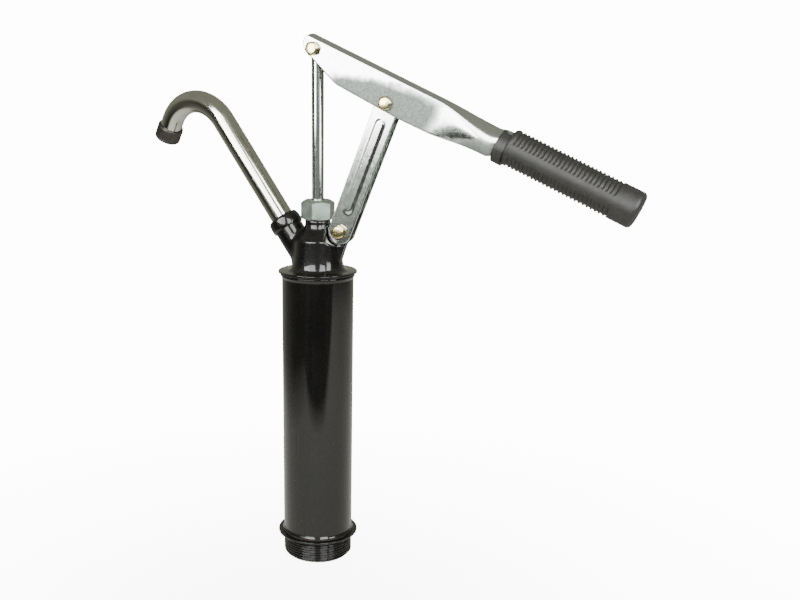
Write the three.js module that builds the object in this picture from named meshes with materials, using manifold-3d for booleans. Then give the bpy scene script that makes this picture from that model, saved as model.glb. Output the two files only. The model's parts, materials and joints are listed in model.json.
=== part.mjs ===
// Lever-action drum pump, in millimetres, +Z up.
// The origin is on the pump's axis at the seat under the bottom flange, where the pump rests on a drum.
// +X points towards the hand grip, and the lever, the straps and the outlet boss lie in the XZ plane.
import * as THREE from "three";
import { mergeVertices } from "three/addons/utils/BufferGeometryUtils.js";
import Module from "manifold-3d";

const wasm = await Module();
wasm.setup();

// ---------------------------------------------------------------- driving dimensions

const FINE = 24; // sides of the large round pieces
const MEDIUM = 20; // sides of the spout, the boss and the rod
const COARSE = 12; // sides of the small round pieces
const FIT = 0.25; // radial gap between a part and the bore that holds it
const FACE = 0.3; // gap between touching pieces

// Cylinder tube and the adapter under it, a 2 inch (G2) bung thread
const TUBE_R = 30;
const TUBE_WALL = 1.5;
const TUBE_BORE_R = TUBE_R - TUBE_WALL;
const FLANGE_T = 1.8;
const FLANGE_R = 34.8;
const THREAD_R = 29.8;
const THREAD_DEPTH = 1.5;
const THREAD_PITCH = 2.309;
const THREAD_CRESTS = 7;
const THREAD_END = -20.5;
const THREAD_LEAD = 2.6; // plain end below the first thread
const THREAD_LAND_R = THREAD_R + 0.1; // full-diameter land between the thread and the seat
const THREAD_LAND = 0.7;
const SUCTION_R = 16.6;
const SUCTION_DEPTH = 14;
const PORT_R = 12;
const VALVE_CHAMBER_R = 22.5;
const VALVE_FLOOR = 3;
const SEAT_LIP = 6.4;
const VALVE_HOLE_R = 2.6;
const VALVE_PIN_R = 2;
const SEAL_BASE = SEAT_LIP + 0.2;
const SEAL_TOP = 8.2;
const VALVE_TOP = 10.2;
const SPIGOT_TOP = 15;
const GASKET_T = 1;
const TUBE_BOTTOM = FLANGE_T + GASKET_T;
const TUBE_TOP = 231.2;

// Head casting, up the axis
const HEAD_BASE = TUBE_TOP + GASKET_T;
const SPIGOT_END = HEAD_BASE - 9;
const HEAD_FLANGE_R = 32.9;
const HEAD_FLANGE_T = 1.8;
const NECK_R = 19.6;
const RIM_Z = 260.4;
const DOME_TOP = 271.5;
const STUFFING_TOP = 275.6;
const STUFFING_FLOOR = 257;
const STUFFING_R = 8.2;
const STUFFING_WALL_R = 10.4;
const PACKING_BASE = 258.6;
const PACKING_TOP = 267;
const FOLLOWER_TOP = 270;
const GLAND_NUT_TOP = 292.4;
const GLAND_NUT_ACROSS_FLATS = 25.2;
const GLAND_NUT_TURN = THREE.MathUtils.degToRad(10);
const CHAMBER_R = 14.5;
const CHAMBER_TOP = 250;

// Outlet: a boss that leans back from the lever, and the swan-neck spout in it
const OUTLET_Z = 229.2;
const OUTLET_TILT = THREE.MathUtils.degToRad(35.3);
const BOSS_R = 11.9;
const BOSS_END = 51.5;
const OUTLET_BORE_R = 7.8;
const SOCKET_START = 37.5;
const COLLAR_START = 46.6;
const COLLAR_END = 57.2;
const COLLAR_R = 13.5;
const COLLAR_SHOULDER = 54.6;
const SPOUT_R = 9.5;
const SPOUT_WALL = 1.4;
const SPOUT_START = 38.2;
const BEND_START = 152.6;
const BEND_R = 36.1;
const BEND_ANGLE = THREE.MathUtils.degToRad(113);
const SPOUT_TURN = THREE.MathUtils.degToRad(-12.9);
const SPOUT_STRAIGHT_END = 17;
const END_RING_LENGTH = 12.6;
const END_RING_LIP = 1.2; // how far the ring stands past the tube's end
const END_RING_R = 11.2;

// Pivots of the lever linkage at rest
const ROD_PIVOT_Z = 410.3;
const EAR_PIVOT = { x: 22, z: 267.5 };
const LEVER_DROP = THREE.MathUtils.degToRad(24);
const FULCRUM = { x: 73.6, z: -12 }; // in the lever's own frame, from the rod pivot
const BOLT_R = 3;
const HOLE_R = BOLT_R + FIT;
const BOLT_ACROSS_FLATS = 10;
const BOLT_HEAD = 4;
const BOLT_NUT = 5;
const BOLT_PAST_STACK = 6.4;
const WASHER_R = 5.8;
const SPACER_R = 5;

// Lever channel, in its own frame: x along the lever, z up through the web
const CHANNEL_W = 17;
const CHANNEL_WALL = 1.5;
const CHANNEL_TOP = 8.8;
const CHANNEL_BOTTOM = -17;
const CHANNEL_NOSE = -10.6;
const CHANNEL_CORNER = 2.4;
const ROUND_START = 116;
const ROUND_END = 160;
const ROUND_R = 11.9;
const ROUND_Z = -2.8;
const HANDLE_R = 10.6;
const HANDLE_Z = -0.8;
const HANDLE_END = 268;

// Grip
const GRIP_R = 13.9;
const GRIP_START = 165.5;
const GRIP_END = 278.5;
const COLLAR_LENGTH = 8;
const GRIP_COLLAR_R = 12.9;
const GRIP_COLLAR_DROP = 1.8; // the collar's centre under the barrel's
const VENT_R = 1.6;

// Straps
const EAR_HALF_T = 3.3;
const STRAP_T = 2.4;
const STRAP_INNER_Y = EAR_HALF_T + FACE;
const STRAP_R = 10.2;
const STRAP_LEAN = THREE.MathUtils.degToRad(21.63);
const STRAP_LENGTH = 109.6;
const SLOT_HALF_WIDTH = 8.1;
const SLOT_LIFT = 2.3;
const SLOT_CORNER = 2.6;
const RIB_HALF_WIDTH = 3.6;
const RIB_BOTTOM = 20;
const RIB_TOP = STRAP_LENGTH - 18;

// Piston rod and bucket piston
const ROD_R = 5;
const ROD_BOTTOM = 92;
const ROD_EYE_R = 6.5;
const PISTON_Z = 100;
const PISTON_R = 26.4;
const CUP_R = 28.2;
const PISTON_PORTS = 6;
const PISTON_PORT_R = 3.4;
const PORT_CIRCLE_R = 13;
const CLIP_GROOVE = 122.2;
const PISTON_NUT_ACROSS_FLATS = 15;

// ---------------------------------------------------------------- shared geometry helpers

const paint = { color: 0x14161a, roughness: 0.22, metalness: 0.1 };
const zinc = { color: 0xb4bab8, roughness: 0.3, metalness: 0.95 };
const chrome = { color: 0xc9cbc6, roughness: 0.12, metalness: 1 };
const yellowZinc = { color: 0xc9b36a, roughness: 0.32, metalness: 0.9 };
const rubber = { color: 0x2c2c2a, roughness: 0.75, metalness: 0 };
const plastic = { color: 0x1b1a1a, roughness: 0.5, metalness: 0 };
const brass = { color: 0xb08d4a, roughness: 0.35, metalness: 0.9 };
const fibre = { color: 0x5b4a3a, roughness: 0.9, metalness: 0 };

// Turns the faces of a closed geometry outwards if they point inwards.
function outward(geometry) {
  const g = geometry.index ? geometry.toNonIndexed() : geometry;
  const p = g.getAttribute("position");
  const [a, b, c] = [new THREE.Vector3(), new THREE.Vector3(), new THREE.Vector3()];
  let volume = 0;
  for (let i = 0; i < p.count; i += 3) {
    a.fromBufferAttribute(p, i);
    b.fromBufferAttribute(p, i + 1);
    c.fromBufferAttribute(p, i + 2);
    volume += a.dot(b.cross(c));
  }
  if (volume < 0) {
    for (let i = 0; i < p.count; i += 3) {
      b.fromBufferAttribute(p, i + 1);
      c.fromBufferAttribute(p, i + 2);
      p.setXYZ(i + 1, c.x, c.y, c.z);
      p.setXYZ(i + 2, b.x, b.y, b.z);
    }
  }
  g.computeVertexNormals();
  return g;
}

function toSolid(geometry) {
  const bare = new THREE.BufferGeometry();
  bare.setAttribute("position", outward(geometry).getAttribute("position"));
  const merged = mergeVertices(bare, 1e-3);
  return new wasm.Manifold(
    new wasm.Mesh({
      numProp: 3,
      vertProperties: new Float32Array(merged.getAttribute("position").array),
      triVerts: new Uint32Array(merged.index.array),
    }),
  );
}

function toGeometry(solid) {
  const mesh = solid.getMesh();
  const geometry = new THREE.BufferGeometry();
  geometry.setAttribute("position", new THREE.BufferAttribute(mesh.vertProperties, 3));
  geometry.setIndex(new THREE.BufferAttribute(mesh.triVerts, 1));
  return outward(geometry);
}

// Joins the first list of closed geometries and cuts the second list from them.
function carve(added, removed = []) {
  let solid = added.map(toSolid).reduce((sum, next) => sum.add(next));
  for (const tool of removed) solid = solid.subtract(toSolid(tool));
  return toGeometry(solid);
}

// Revolves [radius, height] points round +Z; the outline closes on itself or ends on the axis.
function turned(points, sides = FINE) {
  const profile = points.map(([r, z]) => new THREE.Vector2(r, z));
  return outward(new THREE.LatheGeometry(profile, sides).rotateX(Math.PI / 2));
}

// A ring with a rectangular section.
function ring(inner, outer, low, high, sides = FINE) {
  return turned(
    [
      [inner, low],
      [outer, low],
      [outer, high],
      [inner, high],
      [inner, low],
    ],
    sides,
  );
}

function rod(radius, low, high, sides = COARSE) {
  const length = high - low;
  const bar = new THREE.CylinderGeometry(radius, radius, length, sides);
  return bar.rotateX(Math.PI / 2).translate(0, 0, (low + high) / 2);
}

// A bar along Y at (x, z), from y = from to y = to.
function crossBar(radius, from, to, x = 0, z = 0, sides = COARSE) {
  const bar = new THREE.CylinderGeometry(radius, radius, Math.abs(to - from), sides);
  return bar.translate(0, (from + to) / 2, 0).translate(x, 0, z);
}

// A plate in the XZ plane, cut from a shape drawn with (x, z), between two values of y.
function plate(shape, from, to, curveSegments = 10) {
  const flat = new THREE.ExtrudeGeometry(shape, {
    depth: to - from,
    bevelEnabled: false,
    curveSegments,
  });
  return flat.rotateX(Math.PI / 2).translate(0, to, 0);
}

function circleHole(shape, x, z, radius) {
  shape.holes.push(new THREE.Path().absarc(x, z, radius, 0, 2 * Math.PI, true));
}

// A hexagon prism round +Z with chamfered corners, with the corners turned by angle.
function hexagon(acrossFlats, low, high, angle, chamferLow, chamferHigh) {
  const corner = acrossFlats / Math.sqrt(3);
  const prism = new THREE.CylinderGeometry(corner, corner, high - low, 6);
  prism.rotateX(Math.PI / 2).rotateZ(angle).translate(0, 0, (low + high) / 2);
  const crown = turned([
    [0, low],
    [corner - chamferLow, low],
    [corner + 0.1, low + chamferLow * 0.7],
    [corner + 0.1, high - chamferHigh * 0.7],
    [corner - chamferHigh, high],
    [0, high],
  ]);
  return toGeometry(toSolid(prism).intersect(toSolid(crown)));
}

function mesh(name, geometry, material) {
  const piece = new THREE.Mesh(geometry, new THREE.MeshStandardMaterial(material));
  piece.name = name;
  return piece;
}

// ---------------------------------------------------------------- cylinder, adapter and foot valve

function cylinderTube() {
  const bead = 0.9;
  return mesh(
    "cylinder_tube",
    turned([
      [TUBE_BORE_R, TUBE_BOTTOM],
      [TUBE_R + bead * 0.7, TUBE_BOTTOM],
      [TUBE_R + bead, TUBE_BOTTOM + bead],
      [TUBE_R, TUBE_BOTTOM + 2 * bead],
      [TUBE_R, TUBE_TOP - 2.4],
      [TUBE_R + bead, TUBE_TOP - 1.4],
      [TUBE_R + bead, TUBE_TOP - 0.5],
      [TUBE_R + bead * 0.5, TUBE_TOP],
      [TUBE_BORE_R, TUBE_TOP],
      [TUBE_BORE_R, TUBE_BOTTOM],
    ]),
    paint,
  );
}

function bungAdapter() {
  const outline = [
    [PORT_R, THREAD_END + SUCTION_DEPTH],
    [SUCTION_R, THREAD_END + SUCTION_DEPTH],
    [SUCTION_R, THREAD_END],
    [THREAD_R - 2.2, THREAD_END],
  ];
  const firstRoot = THREAD_END + THREAD_LEAD;
  for (let crest = 0; crest < THREAD_CRESTS; crest++) {
    const z = firstRoot + crest * THREAD_PITCH;
    outline.push([THREAD_R - THREAD_DEPTH, z], [THREAD_R, z + THREAD_PITCH / 2]);
  }
  outline.push(
    [THREAD_R - THREAD_DEPTH, firstRoot + THREAD_CRESTS * THREAD_PITCH],
    [THREAD_LAND_R, -THREAD_LAND],
    [THREAD_LAND_R, 0],
    [FLANGE_R - 0.5, 0],
    [FLANGE_R, 0.5],
    [FLANGE_R, FLANGE_T - 0.5],
    [FLANGE_R - 0.5, FLANGE_T],
    [TUBE_BORE_R - FIT, FLANGE_T],
    [TUBE_BORE_R - FIT, SPIGOT_TOP],
    [VALVE_CHAMBER_R, SPIGOT_TOP],
    [VALVE_CHAMBER_R, VALVE_FLOOR],
    [PORT_R, VALVE_FLOOR],
    [PORT_R, THREAD_END + SUCTION_DEPTH],
  );
  return mesh("bung_adapter", turned(outline), paint);
}

function baseGasket() {
  const body = ring(TUBE_BORE_R, TUBE_R + 0.8, FLANGE_T, TUBE_BOTTOM);
  return mesh("base_gasket", body, fibre);
}

function footValveSeat() {
  const rim = VALVE_CHAMBER_R - FACE;
  const shelf = VALVE_FLOOR + 2;
  const lip = [
    [PORT_R, VALVE_FLOOR],
    [rim, VALVE_FLOOR],
    [rim, shelf],
    [16, shelf],
    [15.4, SEAT_LIP],
    [13.6, SEAT_LIP],
    [PORT_R, shelf],
    [PORT_R, VALVE_FLOOR],
  ];
  return mesh("foot_valve_seat", turned(lip), brass);
}

function footValveSeal() {
  return mesh("foot_valve_seal", ring(VALVE_HOLE_R, 17, SEAL_BASE, SEAL_TOP), rubber);
}

function footValveDisc() {
  return mesh("foot_valve_disc", ring(VALVE_HOLE_R, 18, SEAL_TOP, VALVE_TOP), brass);
}

// A plate over the valve chamber with large flow windows and the valve's guide pin.
function footValveCage() {
  const low = SPIGOT_TOP + FACE / 3;
  const outline = new THREE.Shape().absarc(0, 0, TUBE_BORE_R - FIT, 0, 2 * Math.PI);
  const windows = 4;
  const halfSpoke = 0.22;
  for (let i = 0; i < windows; i++) {
    const start = (i / windows) * 2 * Math.PI + halfSpoke;
    const end = ((i + 1) / windows) * 2 * Math.PI - halfSpoke;
    const window = new THREE.Path();
    window.absarc(0, 0, VALVE_CHAMBER_R - 2, start, end, false);
    window.absarc(0, 0, 8, end, start, true);
    outline.holes.push(window);
  }
  const disc = new THREE.ExtrudeGeometry(outline, {
    depth: 2,
    bevelEnabled: false,
    curveSegments: 7,
  }).translate(0, 0, low);
  return mesh("foot_valve_cage", carve([disc, rod(VALVE_PIN_R, 4, low + 1)]), brass);
}

// ---------------------------------------------------------------- head

function headCasting() {
  const flangeTop = HEAD_BASE + HEAD_FLANGE_T;
  const profile = new THREE.Path();
  profile.moveTo(0, SPIGOT_END);
  profile.lineTo(TUBE_BORE_R - FIT, SPIGOT_END);
  profile.lineTo(TUBE_BORE_R - FIT, HEAD_BASE);
  profile.lineTo(HEAD_FLANGE_R - 0.6, HEAD_BASE);
  profile.lineTo(HEAD_FLANGE_R, HEAD_BASE + 0.6);
  profile.lineTo(HEAD_FLANGE_R, flangeTop - 0.6);
  profile.lineTo(HEAD_FLANGE_R - 0.7, flangeTop);
  profile.lineTo(25, flangeTop);
  profile.quadraticCurveTo(21.6, flangeTop + 0.6, 21, flangeTop + 7);
  profile.quadraticCurveTo(20.4, flangeTop + 14, NECK_R, RIM_Z - 1);
  profile.lineTo(NECK_R - 0.5, RIM_Z);
  profile.lineTo(NECK_R - 1.5, RIM_Z + 0.4);
  profile.quadraticCurveTo(14.8, RIM_Z + 3.4, STUFFING_WALL_R, DOME_TOP);
  profile.lineTo(STUFFING_WALL_R, STUFFING_TOP);
  profile.lineTo(0, STUFFING_TOP);
  const bell = turned(profile.getPoints(4).map((p) => [p.x, p.y]));

  const chamber = turned([
    [0, SPIGOT_END - 1],
    [CHAMBER_R, SPIGOT_END - 1],
    [CHAMBER_R, CHAMBER_TOP - 3],
    [CHAMBER_R - 3, CHAMBER_TOP],
    [ROD_R + FIT, CHAMBER_TOP],
    [ROD_R + FIT, STUFFING_FLOOR],
    [STUFFING_R, STUFFING_FLOOR],
    [STUFFING_R, STUFFING_TOP + 1],
    [0, STUFFING_TOP + 1],
  ]);
  const leaning = (g) => g.rotateY(-OUTLET_TILT).translate(0, 0, OUTLET_Z);
  const boss = leaning(rod(BOSS_R, 20, BOSS_END, MEDIUM));
  const bore = leaning(rod(OUTLET_BORE_R, 12, BOSS_END + 2));
  const socket = leaning(rod(SPOUT_R + FIT, SOCKET_START, BOSS_END + 2, MEDIUM));

  const ear = new THREE.Shape();
  ear.moveTo(16, 238);
  ear.lineTo(20.4, 241);
  ear.lineTo(EAR_PIVOT.x + 7.2, EAR_PIVOT.z - 2.4);
  ear.absarc(EAR_PIVOT.x, EAR_PIVOT.z, 7.6, -0.3, 1.9, false);
  ear.lineTo(12, 270.5);
  ear.lineTo(9.4, 262);
  const web = plate(ear, -EAR_HALF_T, EAR_HALF_T, 8);
  const pivotHole = crossBar(HOLE_R, -10, 10, EAR_PIVOT.x, EAR_PIVOT.z);
  const pockets = [-1, 1].map((side) =>
    crossBar(STRAP_R + 0.9, side * EAR_HALF_T, side * 14, EAR_PIVOT.x, EAR_PIVOT.z, MEDIUM),
  );
  const cuts = [chamber, bore, socket, ...pockets, pivotHole];
  return mesh("head_casting", carve([bell, boss, web], cuts), paint);
}

function headGasket() {
  return mesh("head_gasket", ring(TUBE_BORE_R, TUBE_R + 0.6, TUBE_TOP, HEAD_BASE), fibre);
}

function glandPacking() {
  return mesh("gland_packing", ring(ROD_R + FIT, STUFFING_R - 0.1, PACKING_BASE, PACKING_TOP, COARSE), fibre);
}

function packingWasher() {
  const body = ring(ROD_R + FIT, STUFFING_R - 0.2, STUFFING_FLOOR + 0.1, PACKING_BASE - 0.1, COARSE);
  return mesh("packing_washer", body, brass);
}

function glandFollower() {
  const body = ring(ROD_R + FIT, STUFFING_R - 0.2, PACKING_TOP + 0.1, FOLLOWER_TOP, COARSE);
  return mesh("gland_follower", body, brass);
}

function glandNut() {
  const low = STUFFING_TOP + FACE;
  const head = hexagon(GLAND_NUT_ACROSS_FLATS, low, GLAND_NUT_TOP, GLAND_NUT_TURN, 1.2, 2.6);
  const stem = rod(STUFFING_R - 0.3, FOLLOWER_TOP + 0.1, low + 1, MEDIUM);
  const bore = rod(ROD_R + FIT, FOLLOWER_TOP - 1, GLAND_NUT_TOP + 1, MEDIUM);
  return mesh("gland_nut", carve([head, stem], [bore]), zinc);
}

function earBolt() {
  return mesh("strap_pivot_bolt", bolt(EAR_HALF_T + STRAP_T + FACE), yellowZinc);
}

function earNut() {
  return mesh("strap_pivot_nut", lockNut(EAR_HALF_T + STRAP_T + FACE), yellowZinc);
}

// A hexagon bolt along Y: its head on the -Y side, its shank passing a stack of the given half thickness.
function bolt(halfStack) {
  const under = halfStack + FACE;
  const head = hexagon(BOLT_ACROSS_FLATS, 0, BOLT_HEAD, 0, 0.2, 0.9);
  head.rotateX(Math.PI / 2).translate(0, -under, 0);
  const shank = crossBar(BOLT_R, -under - 1, under + BOLT_PAST_STACK);
  return carve([head, shank]);
}

// The nut on the far side of the same stack.
function lockNut(halfStack) {
  const under = halfStack + FACE;
  const body = hexagon(BOLT_ACROSS_FLATS, 0, BOLT_NUT, 0, 0.3, 0.9);
  body.rotateX(-Math.PI / 2).translate(0, under, 0);
  return carve([body], [crossBar(BOLT_R + 0.08, under - 1, under + 7)]);
}

// ---------------------------------------------------------------- spout

// The spout's centre line: straight up the boss, round the bend, and a short straight end.
class SpoutLine extends THREE.Curve {
  getPoint(t) {
    const straight = BEND_START - SPOUT_START;
    const arc = BEND_R * BEND_ANGLE;
    const s = t * (straight + arc + SPOUT_STRAIGHT_END);
    if (s <= straight) return new THREE.Vector3(0, 0, SPOUT_START + s);
    const turn = Math.min((s - straight) / BEND_R, BEND_ANGLE);
    const rest = Math.max(0, s - straight - arc);
    const x = -BEND_R * (1 - Math.cos(turn)) - rest * Math.sin(turn);
    const z = BEND_START + BEND_R * Math.sin(turn) + rest * Math.cos(turn);
    return new THREE.Vector3(x, 0, z);
  }
}

function spoutTube() {
  const section = new THREE.Shape().absarc(0, 0, SPOUT_R, 0, 2 * Math.PI);
  circleHole(section, 0, 0, SPOUT_R - SPOUT_WALL);
  const tube = new THREE.ExtrudeGeometry(section, {
    steps: 22,
    extrudePath: new SpoutLine(),
    curveSegments: 8,
  });
  return mesh("spout_tube", outward(tube), chrome);
}

// A knurled ring round the spout's open end.
function spoutEndRing() {
  const body = ring(SPOUT_R + FIT, END_RING_R, END_RING_LIP - END_RING_LENGTH, END_RING_LIP, MEDIUM);
  const piece = mesh("spout_end_ring", body, plastic);
  const line = new SpoutLine();
  piece.position.copy(line.getPoint(1));
  piece.quaternion.setFromUnitVectors(new THREE.Vector3(0, 0, 1), line.getTangent(1));
  return piece;
}

// A union nut that screws over the boss and grips the spout.
function outletCollar() {
  const inner = SPOUT_R + FIT;
  const profile = new THREE.Path();
  profile.moveTo(BOSS_R + FIT, COLLAR_START);
  profile.lineTo(12.6, COLLAR_START);
  profile.quadraticCurveTo(COLLAR_R + 0.6, (COLLAR_START + COLLAR_END) / 2 - 1, 12.6, COLLAR_END - 1.4);
  profile.quadraticCurveTo(12.1, COLLAR_END, 11, COLLAR_END);
  profile.lineTo(inner, COLLAR_END);
  profile.lineTo(inner, COLLAR_SHOULDER);
  profile.lineTo(BOSS_R + FIT, COLLAR_SHOULDER);
  profile.lineTo(BOSS_R + FIT, COLLAR_START);
  const body = turned(profile.getPoints(4).map((p) => [p.x, p.y]), MEDIUM);
  return mesh("outlet_collar", body, paint);
}

function spoutSeal() {
  const body = ring(SPOUT_R + FIT, BOSS_R, BOSS_END + 0.4, COLLAR_SHOULDER - FACE, MEDIUM);
  return mesh("spout_seal", body, rubber);
}

// ---------------------------------------------------------------- piston

function pistonRod() {
  const shaft = rod(ROD_R, ROD_BOTTOM, ROD_PIVOT_Z - 1, MEDIUM);
  const eye = crossBar(ROD_EYE_R, -ROD_R, ROD_R, 0, ROD_PIVOT_Z, MEDIUM);
  const hole = crossBar(HOLE_R, -8, 8, 0, ROD_PIVOT_Z);
  const groove = ring(ROD_R - 0.8, ROD_R + 2, CLIP_GROOVE, CLIP_GROOVE + 1.2, MEDIUM);
  return mesh("piston_rod", carve([shaft, eye], [hole, groove]), zinc);
}

// Ports on a circle round the rod, from low to high.
function ports(low, high) {
  const list = [];
  for (let i = 0; i < PISTON_PORTS; i++) {
    const angle = (i / PISTON_PORTS) * 2 * Math.PI;
    const x = PORT_CIRCLE_R * Math.cos(angle);
    const y = PORT_CIRCLE_R * Math.sin(angle);
    list.push(rod(PISTON_PORT_R, low, high, 8).translate(x, y, 0));
  }
  return list;
}

function pistonBody() {
  const body = turned([
    [ROD_R + FIT, PISTON_Z + 3],
    [18.6, PISTON_Z + 3],
    [18.6, PISTON_Z + 5.2],
    [PISTON_R - 2.4, PISTON_Z + 5.2],
    [PISTON_R - 2.4, PISTON_Z + 11],
    [PISTON_R - 3.4, PISTON_Z + 12],
    [ROD_R + FIT, PISTON_Z + 12],
    [ROD_R + FIT, PISTON_Z + 3],
  ]);
  return mesh("piston_body", carve([body], ports(PISTON_Z, PISTON_Z + 14)), brass);
}

function pistonCup() {
  const low = PISTON_Z + 3.1;
  const body = turned([
    [18.8, low],
    [CUP_R - 1.6, low],
    [CUP_R, low + 1.6],
    [CUP_R, low + 9],
    [CUP_R - 1.2, low + 9],
    [CUP_R - 1.9, low + 2],
    [18.8, low + 2],
    [18.8, low],
  ]);
  return mesh("piston_cup", body, fibre);
}

function cupFollower() {
  const body = ring(ROD_R + FIT, 24.5, PISTON_Z, PISTON_Z + 2.9);
  return mesh("cup_follower", carve([body], ports(PISTON_Z - 2, PISTON_Z + 5)), brass);
}

function springWasher() {
  return mesh("piston_washer", ring(ROD_R + FIT, 8.5, PISTON_Z - 1.5, PISTON_Z - 0.1, COARSE), zinc);
}

function pistonNut() {
  const body = hexagon(PISTON_NUT_ACROSS_FLATS, PISTON_Z - 7.6, PISTON_Z - 1.6, 0, 0.8, 0.8);
  const bore = rod(ROD_R + 0.1, PISTON_Z - 9, PISTON_Z, MEDIUM);
  return mesh("piston_nut", carve([body], [bore]), zinc);
}

function pistonValveDisc() {
  const body = ring(ROD_R + FIT, 18.5, PISTON_Z + 12.1, PISTON_Z + 14.1);
  return mesh("piston_valve_disc", body, rubber);
}

function pistonValveStop() {
  const body = ring(ROD_R + FIT, 10, PISTON_Z + 20.2, PISTON_Z + 22, COARSE);
  return mesh("piston_valve_stop", body, brass);
}

// An open retaining clip in the rod's groove.
function stopClip() {
  const shape = new THREE.Shape();
  shape.absarc(0, 0, ROD_R + 1.6, 0.45, 2 * Math.PI - 0.45, false);
  shape.absarc(0, 0, ROD_R - 0.65, 2 * Math.PI - 0.45, 0.45, true);
  const clip = new THREE.ExtrudeGeometry(shape, {
    depth: 0.9,
    bevelEnabled: false,
    curveSegments: 8,
  });
  return mesh("piston_stop_clip", outward(clip.translate(0, 0, CLIP_GROOVE + 0.15)), zinc);
}

// ---------------------------------------------------------------- lever

// Points of one side of the channel's section, from the mouth up over half the web.
// The square section is a flat web and wall with a rounded corner, the round one most of a circle.
const WALL_STEPS = 4;
const CORNER_STEPS = 4;

function squareSide(offset) {
  const half = CHANNEL_W / 2 - offset;
  const top = CHANNEL_TOP - offset;
  const corner = CHANNEL_CORNER - offset * 0.9;
  const points = [];
  for (let i = 0; i <= WALL_STEPS; i++) {
    const z = THREE.MathUtils.lerp(CHANNEL_BOTTOM, top - corner, i / WALL_STEPS);
    points.push([half, z]);
  }
  for (let i = 1; i <= CORNER_STEPS; i++) {
    const angle = (i / CORNER_STEPS) * (Math.PI / 2);
    points.push([half - corner + corner * Math.cos(angle), top - corner + corner * Math.sin(angle)]);
  }
  return points;
}

function roundSide(offset, radius, centre) {
  const mouth = THREE.MathUtils.degToRad(-68);
  const crown = THREE.MathUtils.degToRad(82);
  const count = WALL_STEPS + CORNER_STEPS;
  const points = [];
  for (let i = 0; i <= count; i++) {
    const angle = THREE.MathUtils.lerp(mouth, crown, i / count);
    const r = radius - offset;
    points.push([r * Math.cos(angle), centre + r * Math.sin(angle)]);
  }
  return points;
}

// The whole outline of a section from its two sides: out over the outer skin, back under the inner one.
function fold(side) {
  const outer = side(0);
  const inner = side(CHANNEL_WALL);
  const mirrored = (points) => points.map(([y, z]) => [-y, z]).reverse();
  return [...outer, ...mirrored(outer), ...mirrored(inner).reverse(), ...inner.slice().reverse()];
}

function smooth(value, from, to) {
  return THREE.MathUtils.smoothstep(value, from, to);
}

// A pressed channel, square in section at the nose and rolled round towards the grip.
function leverChannel() {
  const square = fold(squareSide);
  const round = fold((offset) => roundSide(offset, ROUND_R, ROUND_Z));
  const slim = fold((offset) => roundSide(offset, HANDLE_R, HANDLE_Z));
  const stations = [CHANNEL_NOSE, ROUND_START];
  for (let i = 1; i <= 6; i++) stations.push(THREE.MathUtils.lerp(ROUND_START, ROUND_END, i / 6));
  stations.push(ROUND_END + 3.5, ROUND_END + 9, HANDLE_END);

  const bar = new THREE.ExtrudeGeometry(new THREE.Shape(square.map(([y, z]) => new THREE.Vector2(y, z))), {
    steps: stations.length - 1,
    depth: stations.length - 1,
    bevelEnabled: false,
  });
  const p = bar.getAttribute("position");
  for (let i = 0; i < p.count; i++) {
    const corner = square.findIndex(([y, z]) => Math.hypot(y - p.getX(i), z - p.getY(i)) < 1e-3);
    const x = stations[Math.round(p.getZ(i))];
    const roll = smooth(x, ROUND_START, ROUND_END);
    const neck = smooth(x, ROUND_END, ROUND_END + 9);
    const mix = (axis) => {
      const rolled = THREE.MathUtils.lerp(square[corner][axis], round[corner][axis], roll);
      return THREE.MathUtils.lerp(rolled, slim[corner][axis], neck);
    };
    p.setXYZ(i, x, mix(0), mix(1));
  }

  // The side view: a rounded nose, and a sloping edge under it that clears the rod.
  const side = new THREE.Shape();
  side.moveTo(-8.2, 12);
  side.lineTo(CHANNEL_NOSE + 0.4, 5.4);
  side.quadraticCurveTo(CHANNEL_NOSE - 0.4, 0, CHANNEL_NOSE + 1.8, -2.4);
  side.lineTo(28.4, CHANNEL_BOTTOM);
  side.lineTo(30, CHANNEL_BOTTOM - 3);
  side.lineTo(HANDLE_END + 5, CHANNEL_BOTTOM - 3);
  side.lineTo(HANDLE_END + 5, 12);
  const outline = plate(side, -15, 15);
  const holes = [
    crossBar(HOLE_R, -15, 15),
    crossBar(HOLE_R, -15, 15, FULCRUM.x, FULCRUM.z),
  ];
  let solid = toSolid(bar).intersect(toSolid(outline));
  for (const hole of holes) solid = solid.subtract(toSolid(hole));
  return mesh("lever_channel", toGeometry(solid), zinc);
}

// The moulded grip: an off-centre collar, a ribbed barrel and a closed end with a small vent hole.
function handGrip() {
  const barrelStart = GRIP_START + COLLAR_LENGTH;
  const profile = new THREE.Path();
  profile.moveTo(0, barrelStart);
  profile.lineTo(GRIP_R - 1.2, barrelStart);
  profile.lineTo(GRIP_R, barrelStart + 1.6);
  profile.lineTo(GRIP_R, GRIP_END - 3.4);
  profile.quadraticCurveTo(GRIP_R, GRIP_END - 0.4, GRIP_R - 3, GRIP_END);
  profile.lineTo(0, GRIP_END);
  const barrel = turned(profile.getPoints(4).map((p) => [p.x, p.y]));
  const alongX = (g, z) => g.rotateY(Math.PI / 2).translate(0, 0, z);
  const collar = rod(GRIP_COLLAR_R, GRIP_START, barrelStart + 2, MEDIUM);
  const socket = [
    alongX(rod(HANDLE_R + FIT, barrelStart - 2, HANDLE_END + 1, MEDIUM), HANDLE_Z),
    alongX(rod(ROUND_R + FIT + 0.1, GRIP_START - 1, barrelStart, MEDIUM), ROUND_Z + 0.6),
    alongX(rod(VENT_R, HANDLE_END, GRIP_END + 1), HANDLE_Z),
  ];
  const body = [alongX(barrel, HANDLE_Z), alongX(collar, HANDLE_Z - GRIP_COLLAR_DROP)];
  return mesh("hand_grip", carve(body, socket), rubber);
}

function sleeve(inner, outer, from, to) {
  const length = to - from;
  return ring(inner, outer, 0, length, COARSE).rotateX(-Math.PI / 2).translate(0, from, 0);
}

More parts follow.
